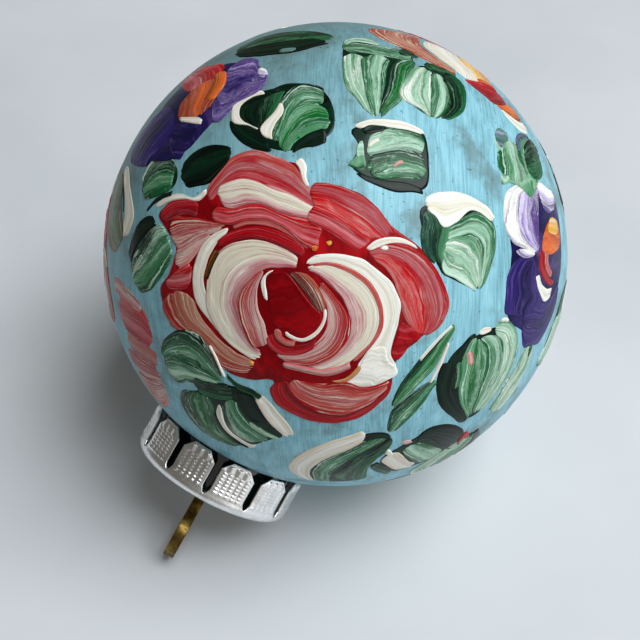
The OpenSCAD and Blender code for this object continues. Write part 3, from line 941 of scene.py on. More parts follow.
LEAF_A = [
    ("black", [(-16, 22.5), (-14.5, 25.5), (-11, 26.4), (-6, 26.9), (-1.4, 25.2), (0, 18.4), (-5, 15.2),
      (-9, 15.4), (-13, 17.8)]),
    ("black", [(-16.4, 22), (-15.8, 19.5), (-13.8, 17), (-11, 15.6), (-8.6, 15.1)],
     [(-15.8, 20.8), (-14, 19.9), (-12, 18.7), (-10.5, 17.3), (-9.3, 16)]),
    ("forest", [(-10.2, 25.6), (-11.5, 23.5), (-11.4, 21), (-10.8, 18.9)],
     [(-6.9, 26.5), (-8.1, 25), (-8.6, 23), (-9.5, 21.2), (-10.6, 19.3)]),
    ("black", [(-12, 24.9), (-13.5, 23.2), (-14, 21.8), (-13, 20.5), (-11.3, 19)],
     [(-11.5, 24.5), (-11.8, 22.5), (-11.6, 20.5), (-11, 19)]),
    ("cream", [(-11, 26.4), (-14, 26), (-16, 24.6), (-16.3, 22.5), (-15.5, 20.6), (-13, 19.8),
      (-11.5, 18.8)],
     [(-10.5, 25.6), (-13, 25.2), (-14.6, 24), (-14.9, 22.2), (-14.2, 20.9), (-12.8, 19.9), (-11.2, 18.9)]),
    ("black", [(-10.5, 26), (-8, 27.2), (-5.5, 27.1), (-3, 26.6), (-1.2, 25.4)],
     [(-10, 25.2), (-8, 26.4), (-5.5, 26.5), (-3, 26), (-1.4, 24.8)]),
    ("green", [(-10.2, 17.5), (-8.8, 21), (-8, 24), (-6.5, 26.2), (-4, 26.8), (-1.2, 25.3)],
     [(-7.5, 15.5), (-7.2, 18.5), (-6.5, 21), (-5, 22.8), (-3, 23), (-0.8, 22.2)]),
    ("bright", [(-8.6, 15.8), (-7.5, 19), (-6, 22), (-3.5, 23.2), (-0.7, 22.5)],
     [(-6.8, 14.4), (-6, 16.3), (-4, 17.8), (-2, 18.4), (0.2, 18.2)]),
    ("cream", [(-8.2, 24.2), (-8.9, 22), (-10.5, 20), (-11, 18.7), (-9.9, 16.8)],
     [(-7.6, 23), (-7.9, 21.3), (-8.8, 19.8), (-9.3, 18), (-9, 16.4)]),
    ("black", [(-6, 15.6), (-4, 17.3), (-2, 18.4), (-0.6, 18.1)],
     [(-6.4, 14.7), (-4.5, 15.6), (-2.5, 15.9), (-0.4, 16.9)]),
]

LEAF_B = [
    ("black", [(2.2, 18.5), (6.5, 19.9), (12, 19), (13.6, 17.4), (13.4, 10.2), (9, 9.4), (4, 11.2),
      (2, 12.8), (3.2, 16)]),
    ("black", [(2.3, 12), (4.5, 11.3), (7, 10.7), (10, 10.5), (12.8, 9.6)],
     [(3.5, 11), (6, 9.9), (8.5, 9.1), (11, 9.2), (13, 8.9)]),
    ("sage", [(4, 16.8), (6.5, 18.3), (9.5, 18.9), (12, 18.6), (13.8, 17.5)],
     [(4.2, 13.8), (6.5, 14.4), (9, 15), (11.5, 15), (13.7, 14.2)]),
    ("green", [(4.2, 14.1), (6.5, 14.8), (9, 15.3), (11.5, 15.2), (13.8, 14.4)],
     [(4.2, 11.6), (6.5, 11), (9, 11.2), (11.5, 11.2), (13.6, 10.5)]),
    ("black", [(3.2, 18.3), (5, 19.4), (7.5, 19.7)], [(3.8, 17.8), (5.5, 18), (8, 18.5)]),
    ("white", [(2, 18.7), (4, 19.8), (6.5, 20.3), (9.5, 20.3), (12, 19.4), (13.6, 18.2)],
     [(3.5, 18.3), (5, 19.2), (8, 19), (11, 18.7), (13.4, 18)]),
    ("cream", [(4.2, 15.8), (5.5, 16.9), (7, 17.3)], [(4.4, 15.2), (5.8, 16.3), (7, 16.9)]),
    ("emerald", [(4.5, 12.6), (6.5, 13.8), (8.5, 14)], [(4.7, 11.4), (6.5, 12.1), (8, 12.8)]),
    ("blush", [(8, 12.8), (9, 13.8), (10.5, 13.6)], [(8.2, 12.4), (9.2, 13.2), (10.5, 13.1)]),
    ("sage", [(1.7, 12.8), (2.8, 13.8), (3.2, 16), (4, 16.8), (4.4, 13), (3.8, 11.8)]),
]

FANS = [
    ("black", [(1.4, 36.6), (4.5, 38.6), (9, 36.8), (13.6, 35.2), (11, 27.5), (6, 21), (3.2, 24),
      (1.4, 29)]),
    ("black", [(14.5, 33), (20.4, 33), (22.2, 29), (20.8, 24.4), (15, 21.4), (10.8, 25), (12.2, 30)]),
    ("green", [(0.8, 36.8), (2, 38), (5, 37.9), (8, 37.2), (11.5, 36.9), (14, 35.8)],
     [(1.2, 34.4), (4, 34.6), (7, 34.3), (10, 34), (14, 33.6)]),
    ("mint", [(1.2, 37), (2.3, 39), (4.5, 39.8), (6.8, 39.3), (8.4, 37.2)],
     [(1.5, 36.5), (3, 38), (5, 38), (7, 37.6), (8, 36.8)]),
    ("teal", [(11, 36.6), (12.5, 37.5), (14.3, 36.6), (15, 35.2), (13, 34.8), (11.2, 35)]),
    ("teal", [(15.5, 34.2), (17.5, 34.6), (19.5, 33.4), (19, 31.6), (17, 31.2), (15.6, 32.4)]),
    ("mint", [(1.3, 34.5), (1.2, 30), (1.6, 26.5), (3.2, 24), (5, 21)],
     [(4.5, 34.8), (4.5, 30), (4.8, 26), (5.3, 22.5), (5.8, 20.5)]),
    ("sage", [(4.3, 34.8), (4.3, 30), (4.6, 26), (5.2, 22.5), (5.8, 20.5)],
     [(10, 34.5), (8.5, 31), (7.8, 27.5), (7, 24), (6.2, 20.6)]),
    ("emerald", [(13.8, 33.9), (10.5, 33), (9, 30), (8.3, 26.5), (7, 23), (6.3, 21)],
     [(14, 33.8), (12.4, 30.5), (11, 27), (10, 24), (8, 22), (6.5, 20.6)]),
    ("mint", [(14.5, 33.2), (12, 30), (10.3, 26.8), (10.3, 24.5), (13.5, 22.5), (14.2, 21.2)],
     [(16.5, 32), (16, 29), (15.5, 26), (15, 23), (14.8, 21.1)]),
    ("sage", [(16.3, 32), (15.8, 29), (15.3, 26), (14.9, 23), (14.7, 21.1)],
     [(18.5, 31.5), (18.8, 28), (18.6, 25), (17, 22.5), (15.2, 21.1)]),
    ("forest", [(17.5, 31), (19, 28.5), (19, 26), (18, 23.5), (16, 21.3)],
     [(20.5, 33.2), (22.4, 30.5), (22.3, 27.5), (21, 24), (18.5, 22), (16.3, 21.2)]),
    ("forest", [(15.5, 34.5), (18, 33.5), (20.5, 33.5), (22, 32)],
     [(16, 33.6), (18, 32.6), (20.5, 32.5), (21.6, 31.4)]),
]

TOP_LEAF = [
    ("forest", [(-20, 41), (-17, 43.5), (-13, 45), (-8, 44.2), (-4, 43), (0, 40.5)],
     [(-19.5, 39), (-15, 39), (-10, 39), (-6, 39), (-3, 39), (0, 38.8)]),
    ("black", [(-19.8, 40), (-15, 40), (-10, 39.6), (-6, 39.5), (-3, 39.6)],
     [(-19, 37.5), (-15, 36), (-10, 35.2), (-6, 35.5), (-3, 36.8), (0, 37.5)]),
    ("slate", [(-10, 36.6), (-8, 37), (-6.4, 36.4), (-7.5, 35.4), (-9.5, 35.5)]),
]

RIGHT_LEAF = [
    ("black", [(12.4, 7.4), (20, 8.4), (24.2, 5.4), (24, 0), (21.6, -4.6), (16, -2.8), (14.5, -1),
      (12.2, 3)]),
    ("teal", [(12, 7.5), (12.3, 5), (12, 3), (12.5, 0.8), (14.5, -1.2)],
     [(15, 6.2), (16.5, 5.2), (17, 3.8), (16, 1.5), (15.4, -1)]),
    ("sage", [(16, 4.2), (18.5, 5.8), (21.5, 6.8), (24.2, 4.8), (24.4, 1.5), (23, -2.5), (21.8, -5)],
     [(15.5, 2), (17.5, 2.6), (20, 2.6), (21.4, 1.2), (21.6, -1), (21.4, -3), (21.2, -5)]),
    ("mint", [(15.2, 2.2), (17.5, 3), (20, 2.8), (21.6, 1.2), (21.8, -1), (21.6, -3), (21.3, -5)],
     [(15, 0), (15.5, -2), (17.5, -3), (19, -3.8), (20.5, -4.6), (21.2, -5.1)]),
    ("white", [(12.3, 7.6), (14, 9), (17, 9.5), (20, 9), (23, 7.6), (24.6, 5.5)],
     [(12.8, 6.6), (14.2, 6), (15.5, 4.4), (17.5, 5.2), (20.5, 7.2), (24.2, 5.3)]),
]

SMALL_LEAF = [
    ("sage", [(26.2, 19.5), (27.5, 21.5), (30, 20.5), (32, 19), (34.5, 22), (37.5, 21), (39, 16.5),
      (36, 13),
      (33.5, 10), (31, 11.2), (28.5, 12), (26.2, 11.6), (26.8, 15)]),
    ("slate", [(26.3, 19.5), (27.5, 22), (29, 22.6), (30.2, 21.5), (29.5, 19), (27.5, 18)]),
    ("sage", [(27, 18.5), (26.3, 16), (26, 12.8)], [(31.5, 22), (32.5, 18), (33, 14), (32, 11.3)]),
    ("slate", [(32, 17.8), (32.2, 21), (34, 23), (36.5, 23.6), (38, 23)],
     [(33, 17.5), (33.8, 19.6), (35.5, 21), (38, 22)]),
    ("forest", [(33, 18.5), (35, 21), (38, 23), (40.5, 23.5)],
     [(33, 14.8), (36, 14), (38.5, 15.2), (40, 18)]),
]

PANSY = [
    ("indigo", [(27.4, -9), (27.6, 0), (27.2, 8), (30.4, 12), (42, 12.4), (44.5, 0), (41.5, -11.5),
      (36, -15.4), (31.8, -12.6)]),
    ("indigo", [(31, -9), (34, -7.5), (37, -8), (40.5, -7), (43.5, -3.5)],
     [(31.5, -13), (33.5, -15.8), (36, -16), (39, -15.8), (42, -12), (44, -8)]),
    ("indigo", [(33, 0.3), (29.5, 0), (27.3, -2.5), (27, -6), (27.2, -8.8), (29, -9.2), (30.5, -9.8)],
     [(33.5, -0.5), (34, -3), (35, -5.5), (36.5, -7.2), (34, -9), (31.5, -10)]),
    ("lilac", [(33, 13.5), (30, 12), (27.5, 10.5), (26.5, 8), (26.5, 5), (28, 2.5), (31, 1.5), (34.5, 0.5)],
     [(36, 13.5), (35.5, 10), (35, 6.5), (34.8, 3), (34.8, 1)]),
    ("lilac", [(31, 1.6), (34, 0.5)], [(28.3, 2.2), (28.8, 0.8), (31, 0), (33.5, 0.3)]),
    ("lilac", [(35, 13.5), (37.5, 13.5), (40, 12.8), (43, 13)],
     [(36, 10), (38.5, 8.2), (40.5, 8.8), (43, 9.5)]),
    ("orange", [(36, 1), (36.6, 4.5), (39.5, 7), (43, 6), (43.4, 2.6), (40.5, 0.6)]),
    ("yellow", [(38, 4.6), (39.4, 7.4), (42.4, 7), (42, 4.4)]),
    ("crimson", [(35.3, 1.8), (34.9, -1), (36, -3.2), (38.5, -4.8), (41, -5)],
     [(36.5, 1.5), (36.5, -1), (37.5, -2.8), (39.5, -4), (41.3, -4.2)]),
    ("salmon", [(36.4, 1.4), (36.5, -1), (37.5, -2.8), (39.5, -4)],
     [(38, 1.4), (38, -0.4), (39, -2), (40.6, -3)]),
    ("white", [(33.8, -2.8), (35, -5), (37, -7.5), (38.5, -7.7), (40.5, -6.5)],
     [(34.8, -2.5), (36, -4.6), (38, -5.6), (40.5, -5.6)]),
]

PALE_LEAF = [
    ("black", [(17.4, -15), (22, -11.6), (27.6, -11), (30.8, -16), (28.6, -24), (24.4, -28.8),
      (19.4, -25.6), (16.4, -20)]),
    ("black", [(16.8, -15), (15.8, -18), (16, -21), (17.2, -24), (19.5, -26.5), (22, -29), (24, -29.3)],
     [(18.5, -16), (18.3, -19), (18.6, -21.5), (20, -24), (22, -26.8), (24, -28.6)]),
    ("bright", [(22, -12), (20.8, -13), (19.8, -15.5), (19.9, -18), (20, -21), (21, -24), (22.5, -26.6),
      (23.7, -28.8)],
     [(22.4, -12.4), (24, -14.5), (24.8, -18), (24.6, -21.5), (24.4, -24.5), (24.2, -28)]),
    ("sage", [(22, -12), (24, -14.5), (24.6, -18), (24.4, -21.5), (24.2, -24.5), (24.1, -28)],
     [(25, -11.8), (27.3, -13.5), (28.5, -17), (28.3, -20.5), (26.8, -24), (25, -27.5)]),
    ("mint", [(25, -10.5), (28, -10.2), (30.8, -13), (31.5, -16.5), (30.8, -20.5), (28.8, -24.5),
      (26, -27.8)],
     [(25, -11.8), (27.3, -13.5), (28.2, -17), (28, -20.5), (26.5, -24), (24.8, -27.5)]),
    ("emerald", [(18.5, -16), (18.9, -18.5), (19, -21.5)], [(19.6, -15.5), (20, -18.5), (19.8, -21)]),
    ("blush", [(20, -14.2), (20.6, -16), (21, -17.4)], [(20.9, -14), (21.8, -15.8), (21.8, -17.2)]),
    ("white", [(22, -11.8), (22.8, -10.8), (24.3, -10.7), (24.8, -11.3), (23.5, -11.9)]),
    ("white", [(26, -9.8), (27.4, -9.6), (28.6, -10.2)], [(26, -10.3), (27.3, -10.2), (28.4, -10.7)]),
    ("black", [(18, -15), (20.5, -12), (22, -11.5)], [(18.4, -15.4), (20.7, -12.6), (22, -12)]),
]

LIMB_LEAF = [
    ("mint", [(34, -15.5), (33, -18.5), (31, -22), (29.5, -25.5), (28.5, -29.5)],
     [(36.5, -15.5), (37, -19), (36, -23), (34.5, -27), (31.5, -31)]),
    ("forest", [(35, -16), (35.9, -15.6), (36.4, -17.5), (35.6, -18.6)]),
]

SLIM_LEAF = [
    ("forest", [(17.8, -9.5), (15, -12), (12, -15.5), (9.8, -19), (8.5, -23)],
     [(17.9, -9.8), (16, -12.3), (13.5, -16), (11, -19.4), (8.6, -23.2)]),
    ("bright", [(17.9, -9.6), (15.8, -12.2), (13.3, -15.8), (10.8, -19.2), (8.6, -23.2)],
     [(18, -10), (16.8, -12.5), (15, -16.5), (12.5, -19.5), (9.5, -22.5), (8.6, -23.4)]),
    ("green", [(15, -18.5), (12, -20.5), (9.2, -23.3), (8.6, -26), (8.5, -28.5)],
     [(15.8, -18.5), (14.5, -21.5), (12.5, -25), (10.5, -27.5), (9, -28.8)]),
    ("cream", [(17, -12), (15.6, -16), (14.1, -19.5)], [(17.2, -12.3), (16.2, -16), (14.7, -19.4)]),
    ("white", [(17.6, -9.5), (14.8, -12), (11.8, -15.5)], [(17.7, -9.8), (15.1, -12.3), (12.2, -15.8)]),
]

NECK_LEAF = [
    ("black", [(5.4, -28.2), (9.5, -29.8), (6, -38), (5.8, -44.5), (-3.8, -45), (-7.6, -40), (-6.4, -35),
      (-2, -31.6)]),
    ("green", [(5.3, -29.5), (3, -31.5), (0, -33.5), (-2.8, -36), (-4.5, -39), (-4.8, -42), (-4, -45.5)],
     [(9.5, -29.3), (6, -32), (3, -34.5), (0.8, -37.5), (-0.8, -40.5), (-1.2, -43.5), (-1, -46)]),
    ("forest", [(9.8, -29.5), (6.5, -33), (3.5, -35.5), (1.5, -38.5), (0, -41.5), (0, -45)],
     [(9.9, -30.5), (8.5, -34), (7, -36), (6, -39), (6, -42), (6.5, -45)]),
    ("cream", [(5.4, -27.5), (3, -28.4), (0, -29.8), (-3, -31.5), (-6, -34), (-8.2, -37.5), (-8.4, -41),
      (-6.5, -45)],
     [(5.3, -29.5), (3, -31.5), (0, -33.5), (-2.8, -36), (-4.5, -39), (-4.8, -42), (-4, -45.5)]),
]

RIB_LEAF = [
    ("black", [(8, -36), (12, -31.8), (17, -29.2), (23.6, -32), (25.8, -35), (21.6, -38.6), (15, -41.4),
      (10.5, -41.6)]),
    ("forest", [(7, -36.3), (9.5, -38.5), (12, -41.5)], [(6, -38), (8, -41), (11, -43.5)]),
    ("black", [(13.8, -31.5), (15, -29.5), (17, -28.6), (20, -29), (23, -31), (25, -33.5)],
     [(14, -32), (16, -31.5), (18, -33), (20, -35.5), (22.5, -37.5), (24.5, -36.8)]),
    ("crimson", [(24.2, -32), (26.3, -34.5), (27, -37.5)], [(23.5, -34.5), (24, -36.5), (25, -38)]),
    ("sage", [(13.8, -31.8), (16, -33), (19, -35.5), (22, -38)],
     [(11.5, -33), (13, -36), (15.5, -39), (18, -40.5)]),
    ("cream", [(10.5, -33), (12, -35.5), (14, -38.5), (16.5, -40.5)],
     [(7.5, -35.5), (9.5, -38), (11.5, -40.5), (14, -42)]),
    ("blush", [(11, -31.6), (12.4, -30.9), (13.6, -31.6), (12.2, -32.2)]),
    ("white", [(8.8, -32.6), (9.8, -33.6), (10.4, -35)], [(8.4, -33.8), (9.4, -34.6), (10, -35.4)]),
]

CAP_LEAVES = [
    ("black", [(-29.4, -17), (-26, -12.6), (-20.5, -12.6), (-17.6, -18.8), (-24, -21), (-28.6, -20)]),
    ("black", [(-24, -22.4), (-27.4, -27), (-25.6, -32.6), (-18, -34.4), (-10.4, -30.6), (-8.6, -28.6),
      (-13, -21), (-18, -19.8)]),
    ("green", [(-30, -16.5), (-28.5, -13.8), (-26, -12), (-23.5, -11.2), (-20.5, -12), (-19, -14.5),
      (-17.5, -18.8)],
     [(-29.8, -17), (-27, -16.5), (-24, -16.8), (-21, -18), (-17.4, -19.5)]),
    ("white", [(-19.5, -12.8), (-18.4, -15), (-17.2, -18.8)], [(-19.1, -12.6), (-18, -15), (-16.8, -18.8)]),
    ("sage", [(-29.8, -17.2), (-27, -16.3), (-25, -16.8), (-22, -18), (-18, -19.5)],
     [(-29, -20.5), (-27, -21.5), (-24.5, -20.5), (-21.5, -20), (-18, -19.8)]),
    ("forest", [(-24, -19.2), (-20, -20), (-15.5, -19.6)], [(-23.5, -22.4), (-19.5, -23), (-15.6, -22.6)]),
    ("emerald", [(-24, -22), (-27, -23.5), (-28, -27), (-27, -31), (-24.5, -33.8), (-20, -35),
      (-17.5, -34.5)],
     [(-21, -22.5), (-20.5, -25), (-20.7, -27.5), (-20.3, -30), (-19, -32.5), (-17.3, -34.3)]),
    ("black", [(-20.8, -26), (-20.7, -28.5), (-19.7, -31), (-17.6, -33.4), (-15.5, -34.7)],
     [(-20, -26), (-19.9, -28.4), (-18.9, -30.7), (-17, -32.9), (-15.3, -34.2)]),
    ("green", [(-18.5, -23.3), (-18.7, -27), (-18, -30), (-16, -31.8), (-13.8, -32.8)],
     [(-16, -22), (-15.3, -25), (-13.5, -27.5), (-11.5, -29.5), (-10, -30.8)]),
    ("mint", [(-14.2, -26.4), (-11.8, -28.4), (-8.6, -30.2)],
     [(-14.6, -27.6), (-12, -29.4), (-9.2, -30.8)]),
    ("white", [(-18.8, -23.5), (-20, -26), (-19.8, -28.5), (-19, -30.5), (-17, -32.5), (-15, -33.8),
      (-13.5, -33.5)],
     [(-18.8, -24.5), (-18.9, -27.5), (-18.5, -29.8), (-16.8, -31.8), (-15, -32.9), (-13.3, -32.6)]),
    ("black", [(-16, -20.5), (-15, -23.5), (-14.3, -26), (-12, -27)],
     [(-13.5, -20.5), (-12.5, -22), (-11.8, -24.5), (-10.5, -26.5), (-9.5, -28)]),
    ("cream", [(-12.5, -21.3), (-11.8, -23.5), (-10.8, -25.8), (-9.3, -28), (-7.8, -29.8)],
     [(-11.5, -20.6), (-10.2, -22.2), (-8.5, -24.8), (-7, -27.5), (-6.9, -29.5)]),
    ("forest", [(-17, -17.5), (-15, -19.3), (-12.5, -20.2), (-10.5, -21.8)],
     [(-17, -18.4), (-15, -20.3), (-12.8, -21.2), (-11.2, -22.2)]),
]

LEFT_LEAVES = [
    ("black", [(-35.4, -2), (-33, 5.4), (-28.6, 5.4), (-25.4, 1), (-30, -4.9), (-34, -4.4)]),
    ("black", [(-33.4, 12.6), (-29.5, 16.8), (-25.2, 14.6), (-25.2, 11.2), (-30, 10), (-32.6, 10.4)]),
    ("black", [(-36.5, 0), (-35, 3.5), (-33, 6), (-30.5, 6.8), (-28.5, 6)],
     [(-35.5, -1.5), (-34, 1.5), (-31.5, 3.8), (-29, 5.3)]),
    ("green", [(-35.7, -2.5), (-34, 0.5), (-31, 3.5), (-28.5, 5), (-26, 4.8)],
     [(-34.5, -5), (-32.5, -5.8), (-30, -5), (-27.5, -3), (-25.3, 0), (-25, 2)]),
    ("mint", [(-35.4, -3.4), (-33.8, -1), (-31.6, 1.2)], [(-35, -3.9), (-33.4, -1.6), (-31.2, 0.4)]),
    ("green", [(-33.8, 13), (-32, 16), (-29.5, 17.3), (-27, 16.8), (-25, 14.8)],
     [(-33, 10), (-30.5, 9.8), (-28, 10.3), (-25, 11)]),
    ("mint", [(-34, 13.2), (-32.2, 16.3), (-29.5, 17.7)], [(-33.6, 12.8), (-31.8, 15.8), (-29.4, 17.2)]),
    ("black", [(-25, 14), (-22, 16.5), (-19, 17.2), (-16, 16.5), (-15, 15.3)],
     [(-24, 10.8), (-21, 10.8), (-18.5, 11.2), (-16.5, 13.3), (-15.2, 15)]),
    ("black", [(-31.8, 7.8), (-29, 9.7), (-25, 10.6)], [(-31.5, 7.3), (-28.8, 9), (-25, 9.9)]),
    ("olive", [(-46, 20), (-49, 14), (-49.5, 9), (-47, 4.5), (-43.5, 1.5), (-40, 1)],
     [(-42.5, 17), (-41, 13), (-40, 9.5), (-38.8, 6), (-38, 3)]),
    ("black", [(-42.7, 16.9), (-40.3, 12.2), (-38.9, 8)], [(-42.3, 17), (-39.8, 12.2), (-38.6, 8)]),
    ("cream", [(-43, 18.3), (-40.5, 17.5), (-38, 13.5), (-36, 10), (-35, 7), (-36.3, 4.5), (-38.5, 3)],
     [(-42.3, 17.4), (-40.2, 14), (-38.8, 11), (-38.1, 8), (-38.3, 5)]),
]

LEFT_PANSY = [
    ("indigo", [(-40, 21), (-36, 27.4), (-30, 35), (-20, 36), (-12.6, 32), (-11.6, 28.5), (-19, 21.6),
      (-25, 16.2), (-32.6, 16.6)]),
    ("indigo", [(-30, 28.5), (-36, 28), (-40, 25), (-41, 21), (-39, 17.5)],
     [(-28, 24.5), (-28, 21.5), (-31, 18.5), (-33, 16.2), (-36, 16.5)]),
    ("violet", [(-19.5, 36.5), (-16.5, 36.2), (-13.5, 34.5), (-13, 32.5), (-10.8, 30.5)],
     [(-21, 25), (-20, 21.5), (-18, 21.5), (-15.5, 24.5), (-12.5, 26), (-10.5, 28.5)]),
    ("lilac", [(-13.5, 32.2), (-12, 31.4), (-10.9, 30.3)], [(-13, 29.6), (-11.8, 29.2), (-10.8, 29.4)]),
    ("crimson_pink", [(-28.5, 41), (-25, 38), (-21.5, 36.5), (-20, 34), (-19.2, 31)],
     [(-33, 37), (-30.5, 34), (-28.6, 32), (-28, 30), (-28, 28.6)]),
    ("rust", [(-19.4, 33), (-18.8, 30.5), (-19.4, 27.5), (-20.5, 25.5), (-21.5, 23.3)],
     [(-28, 31), (-28, 28), (-27.5, 25), (-26.5, 23.5), (-24, 22.5)]),
    ("orange", [(-19.8, 34), (-18.8, 31), (-19, 28.5), (-20.5, 25.5)],
     [(-22, 33.5), (-21.2, 31), (-21.4, 28.5), (-22.4, 26)]),
    ("cream", [(-27, 23.5), (-24, 22.3), (-20.3, 21)], [(-27.2, 24.3), (-24, 23.4), (-21.6, 22.9)]),
    ("indigo", [(-27.3, 23), (-24, 21.5), (-22, 20.8), (-23.5, 18), (-25, 15.5), (-28, 19)]),
]

SIDE_PETALS = [
    ("pink_fade", [(-44, -18), (-40, -18.6), (-36, -19), (-31.5, -19.8)],
     [(-43, -23.5), (-39, -24), (-35, -23.8), (-31, -22.6)]),
    ("blush", [(-42.5, -23), (-38, -23.6), (-31.4, -22.6)],
     [(-42, -29), (-39, -31), (-36, -31.4), (-33, -29), (-31.3, -26)]),
    ("tan", [(-41, -13.5), (-37, -14.8), (-33, -15.8), (-30.5, -17.2)],
     [(-41.5, -18), (-36, -18.6), (-33, -19.2), (-31.3, -19.8)]),
    ("crimson_pink", [(-42, -6.5), (-36, -8), (-33, -9), (-31, -12)],
     [(-42.5, -13), (-38, -14.3), (-34, -15.3), (-30.9, -16)]),
    ("blush", [(-44, -3.8), (-41, -3.8), (-37, -5.7), (-32.8, -8.3)],
     [(-43, -6), (-39, -7.8), (-33, -9.5)]),
]

BOTTOM_PETALS = [
    ("limb", [(10, 47), (7, 46), (6.6, 43.5), (8.5, 40.5), (11.5, 38), (14.5, 36), (18.5, 34), (22, 32.5)],
     [(19, 47.5), (17, 44), (16.5, 41), (18, 38), (20, 36), (22.5, 33.5)]),
    ("cream", [(20, 47), (18, 43.6), (17.6, 41), (19, 38), (21, 35.8), (23.2, 33.2)],
     [(27.5, 46), (26, 42), (26.3, 39), (27.5, 36), (27, 33.5), (24.5, 32.3)]),
    ("yellow", [(28, 45.5), (26.2, 42), (26.2, 39), (27.3, 36.5), (27, 34)],
     [(33, 42), (32.5, 38), (32, 36), (30, 34)]),
    ("rust", [(26.8, 34.2), (29.5, 35), (32.6, 35)], [(26.8, 32.9), (29.8, 33.6), (32.8, 33.8)]),
    ("orange", [(29, 28.7), (33, 30), (37, 29.5)], [(30, 27.6), (33, 26.6), (36, 26.6), (38, 28.5)]),
    ("crimson", [(23, 32), (26, 32.8), (30, 33.8), (33, 34)],
     [(24, 31.5), (27, 29.5), (29, 28.3), (32, 29), (34.5, 31)]),
    ("white", [(30, 27.6), (33, 26.5), (36, 26.3), (38.5, 27.5)],
     [(31, 26.3), (33.5, 24.6), (36, 23.9), (39, 25)]),
]


# ---------- The stage ----------
# The floor's way up, as the ornament lies on its side. It fades out between two distances.
FLOOR_UP = (0.315, -0.721, -0.617)
FLOOR_GAP, FLOOR_REACH = 0.6 * MM, 1.6
FADE_START, FADE_END = 0.16, 0.42


def unit(vector):
    return Vector(vector).normalized()


def floor_material(middle):
    """Pale and matt near a middle, and see-through far from it and from behind."""
    m = Nodes("pale_floor")
    vector, _ = m.places()
    cloud = m.noise(vector, 0.012, 4, 0.5)
    base = m.shades(cloud, [(0.35, (0.735, 0.752, 0.77)), (0.65, (0.785, 0.797, 0.808))])
    m.link(base, m.shader.inputs["Base Color"])
    m.shader.inputs["Roughness"].default_value = 0.6
    away = m.add("VectorMath", operation="DISTANCE")
    m.link(m.add("TexCoord").outputs["Object"], away.inputs[0])
    away.inputs[1].default_value = middle
    gone = m.band(away.outputs["Value"], FADE_START, FADE_END)
    behind = m.add("NewGeometry").outputs["Backfacing"]
    choose = m.add("MixShader")
    m.link(m.math("MAXIMUM", behind, gone), choose.inputs[0])
    m.link(m.shader.outputs[0], choose.inputs[1])
    m.link(m.add("BsdfTransparent").outputs[0], choose.inputs[2])
    m.link(choose.outputs[0], m.tree.nodes["Material Output"].inputs[0])
    return m.material


def make_floor(view):
    """A plain pale floor under the ornament as it lies on its side. It casts no shadow."""
    floor_up = unit(FLOOR_UP)
    middle = BALL - floor_up * (BALL_R + FLOOR_GAP)
    across = unit(floor_up.cross(view.up))
    other = floor_up.cross(across)
    mesh = bpy.data.meshes.new("floor")
    signs = ((-1, -1), (1, -1), (1, 1), (-1, 1))
    corners = [middle + across * (a * FLOOR_REACH) + other * (b * FLOOR_REACH) for a, b in signs]
    mesh.from_pydata(corners, [], [(0, 1, 2, 3)])
    if mesh.polygons[0].normal.dot(floor_up) < 0:
        mesh.flip_normals()
    mesh.materials.append(floor_material(middle))
    floor = bpy.data.objects.new("floor", mesh)
    floor.visible_shadow = False
    bpy.context.scene.collection.objects.link(floor)


def area_light(name, toward, distance, size, power, tint=(1, 1, 1)):
    """A square soft light that shines on the ball from a direction."""
    light = bpy.data.lights.new(name, "AREA")
    light.size = size
    light.energy = power
    light.color = tint
    lamp = bpy.data.objects.new(name, light)
    lamp.location = BALL + toward * distance
    lamp.rotation_mode = "QUATERNION"
    lamp.rotation_quaternion = toward.to_track_quat("Z", "Y")
    bpy.context.scene.collection.objects.link(lamp)


def make_lights(view):
    """A window up on the right, two weak cards in front, and a light behind the ornament."""

    def seen(right, up, near):
        return unit(view.right * right + view.up * up + view.normal * near)

    area_light("window", seen(0.46, 0.56, 0.70), distance=2.0, size=1.35, power=52, tint=(0.96, 1.0, 1.03))
    area_light("card", seen(0.8, -0.40, 0.6), distance=0.8, size=0.6, power=1.1)
    area_light("front_card", seen(0.2, -0.3, 0.9), distance=0.8, size=0.8, power=0.4)
    area_light("behind", seen(0, 0.05, -1), distance=1.0, size=0.5, power=6)


def make_room():
    """A dim warm room lights the ornament, and the camera sees a plain grey backdrop."""
    world = bpy.data.worlds.new("room")
    bpy.context.scene.world = world
    world.use_nodes = True
    tree = world.node_tree
    room = tree.nodes["Background"]
    room.inputs["Color"].default_value = (1.0, 0.94, 0.82, 1)
    room.inputs["Strength"].default_value = 0.14
    backdrop = tree.nodes.new("ShaderNodeBackground")
    backdrop.inputs["Color"].default_value = (0.58, 0.60, 0.61, 1)
    choose = tree.nodes.new("ShaderNodeMixShader")
    seen = tree.nodes.new("ShaderNodeLightPath").outputs["Is Camera Ray"]
    tree.links.new(seen, choose.inputs[0])
    tree.links.new(room.outputs[0], choose.inputs[1])
    tree.links.new(backdrop.outputs[0], choose.inputs[2])
    tree.links.new(choose.outputs[0], tree.nodes["World Output"].inputs[0])


def make_camera(view):
    """The camera looks at the rose as the ornament lies on its side."""
    distance, lens = 0.170, 53.7
    aim_left, aim_below = 2.67 * MM, 11.09 * MM
    eye = BALL + view.normal * distance
    aim = BALL - view.right * aim_left - view.up * aim_below
    back = (eye - aim).normalized()
    right = view.up.cross(back).normalized()
    up = back.cross(right)
    turn = Matrix((right, up, back)).transposed().to_4x4()
    data = bpy.data.cameras.new("camera")
    data.lens = lens
    data.clip_start = 0.01
    data.clip_end = 5
    camera = bpy.data.objects.new("camera", data)
    camera.matrix_world = Matrix.Translation(eye) @ turn
    bpy.context.scene.collection.objects.link(camera)
    bpy.context.scene.camera = camera
    bpy.context.scene.view_settings.view_transform = "Standard"


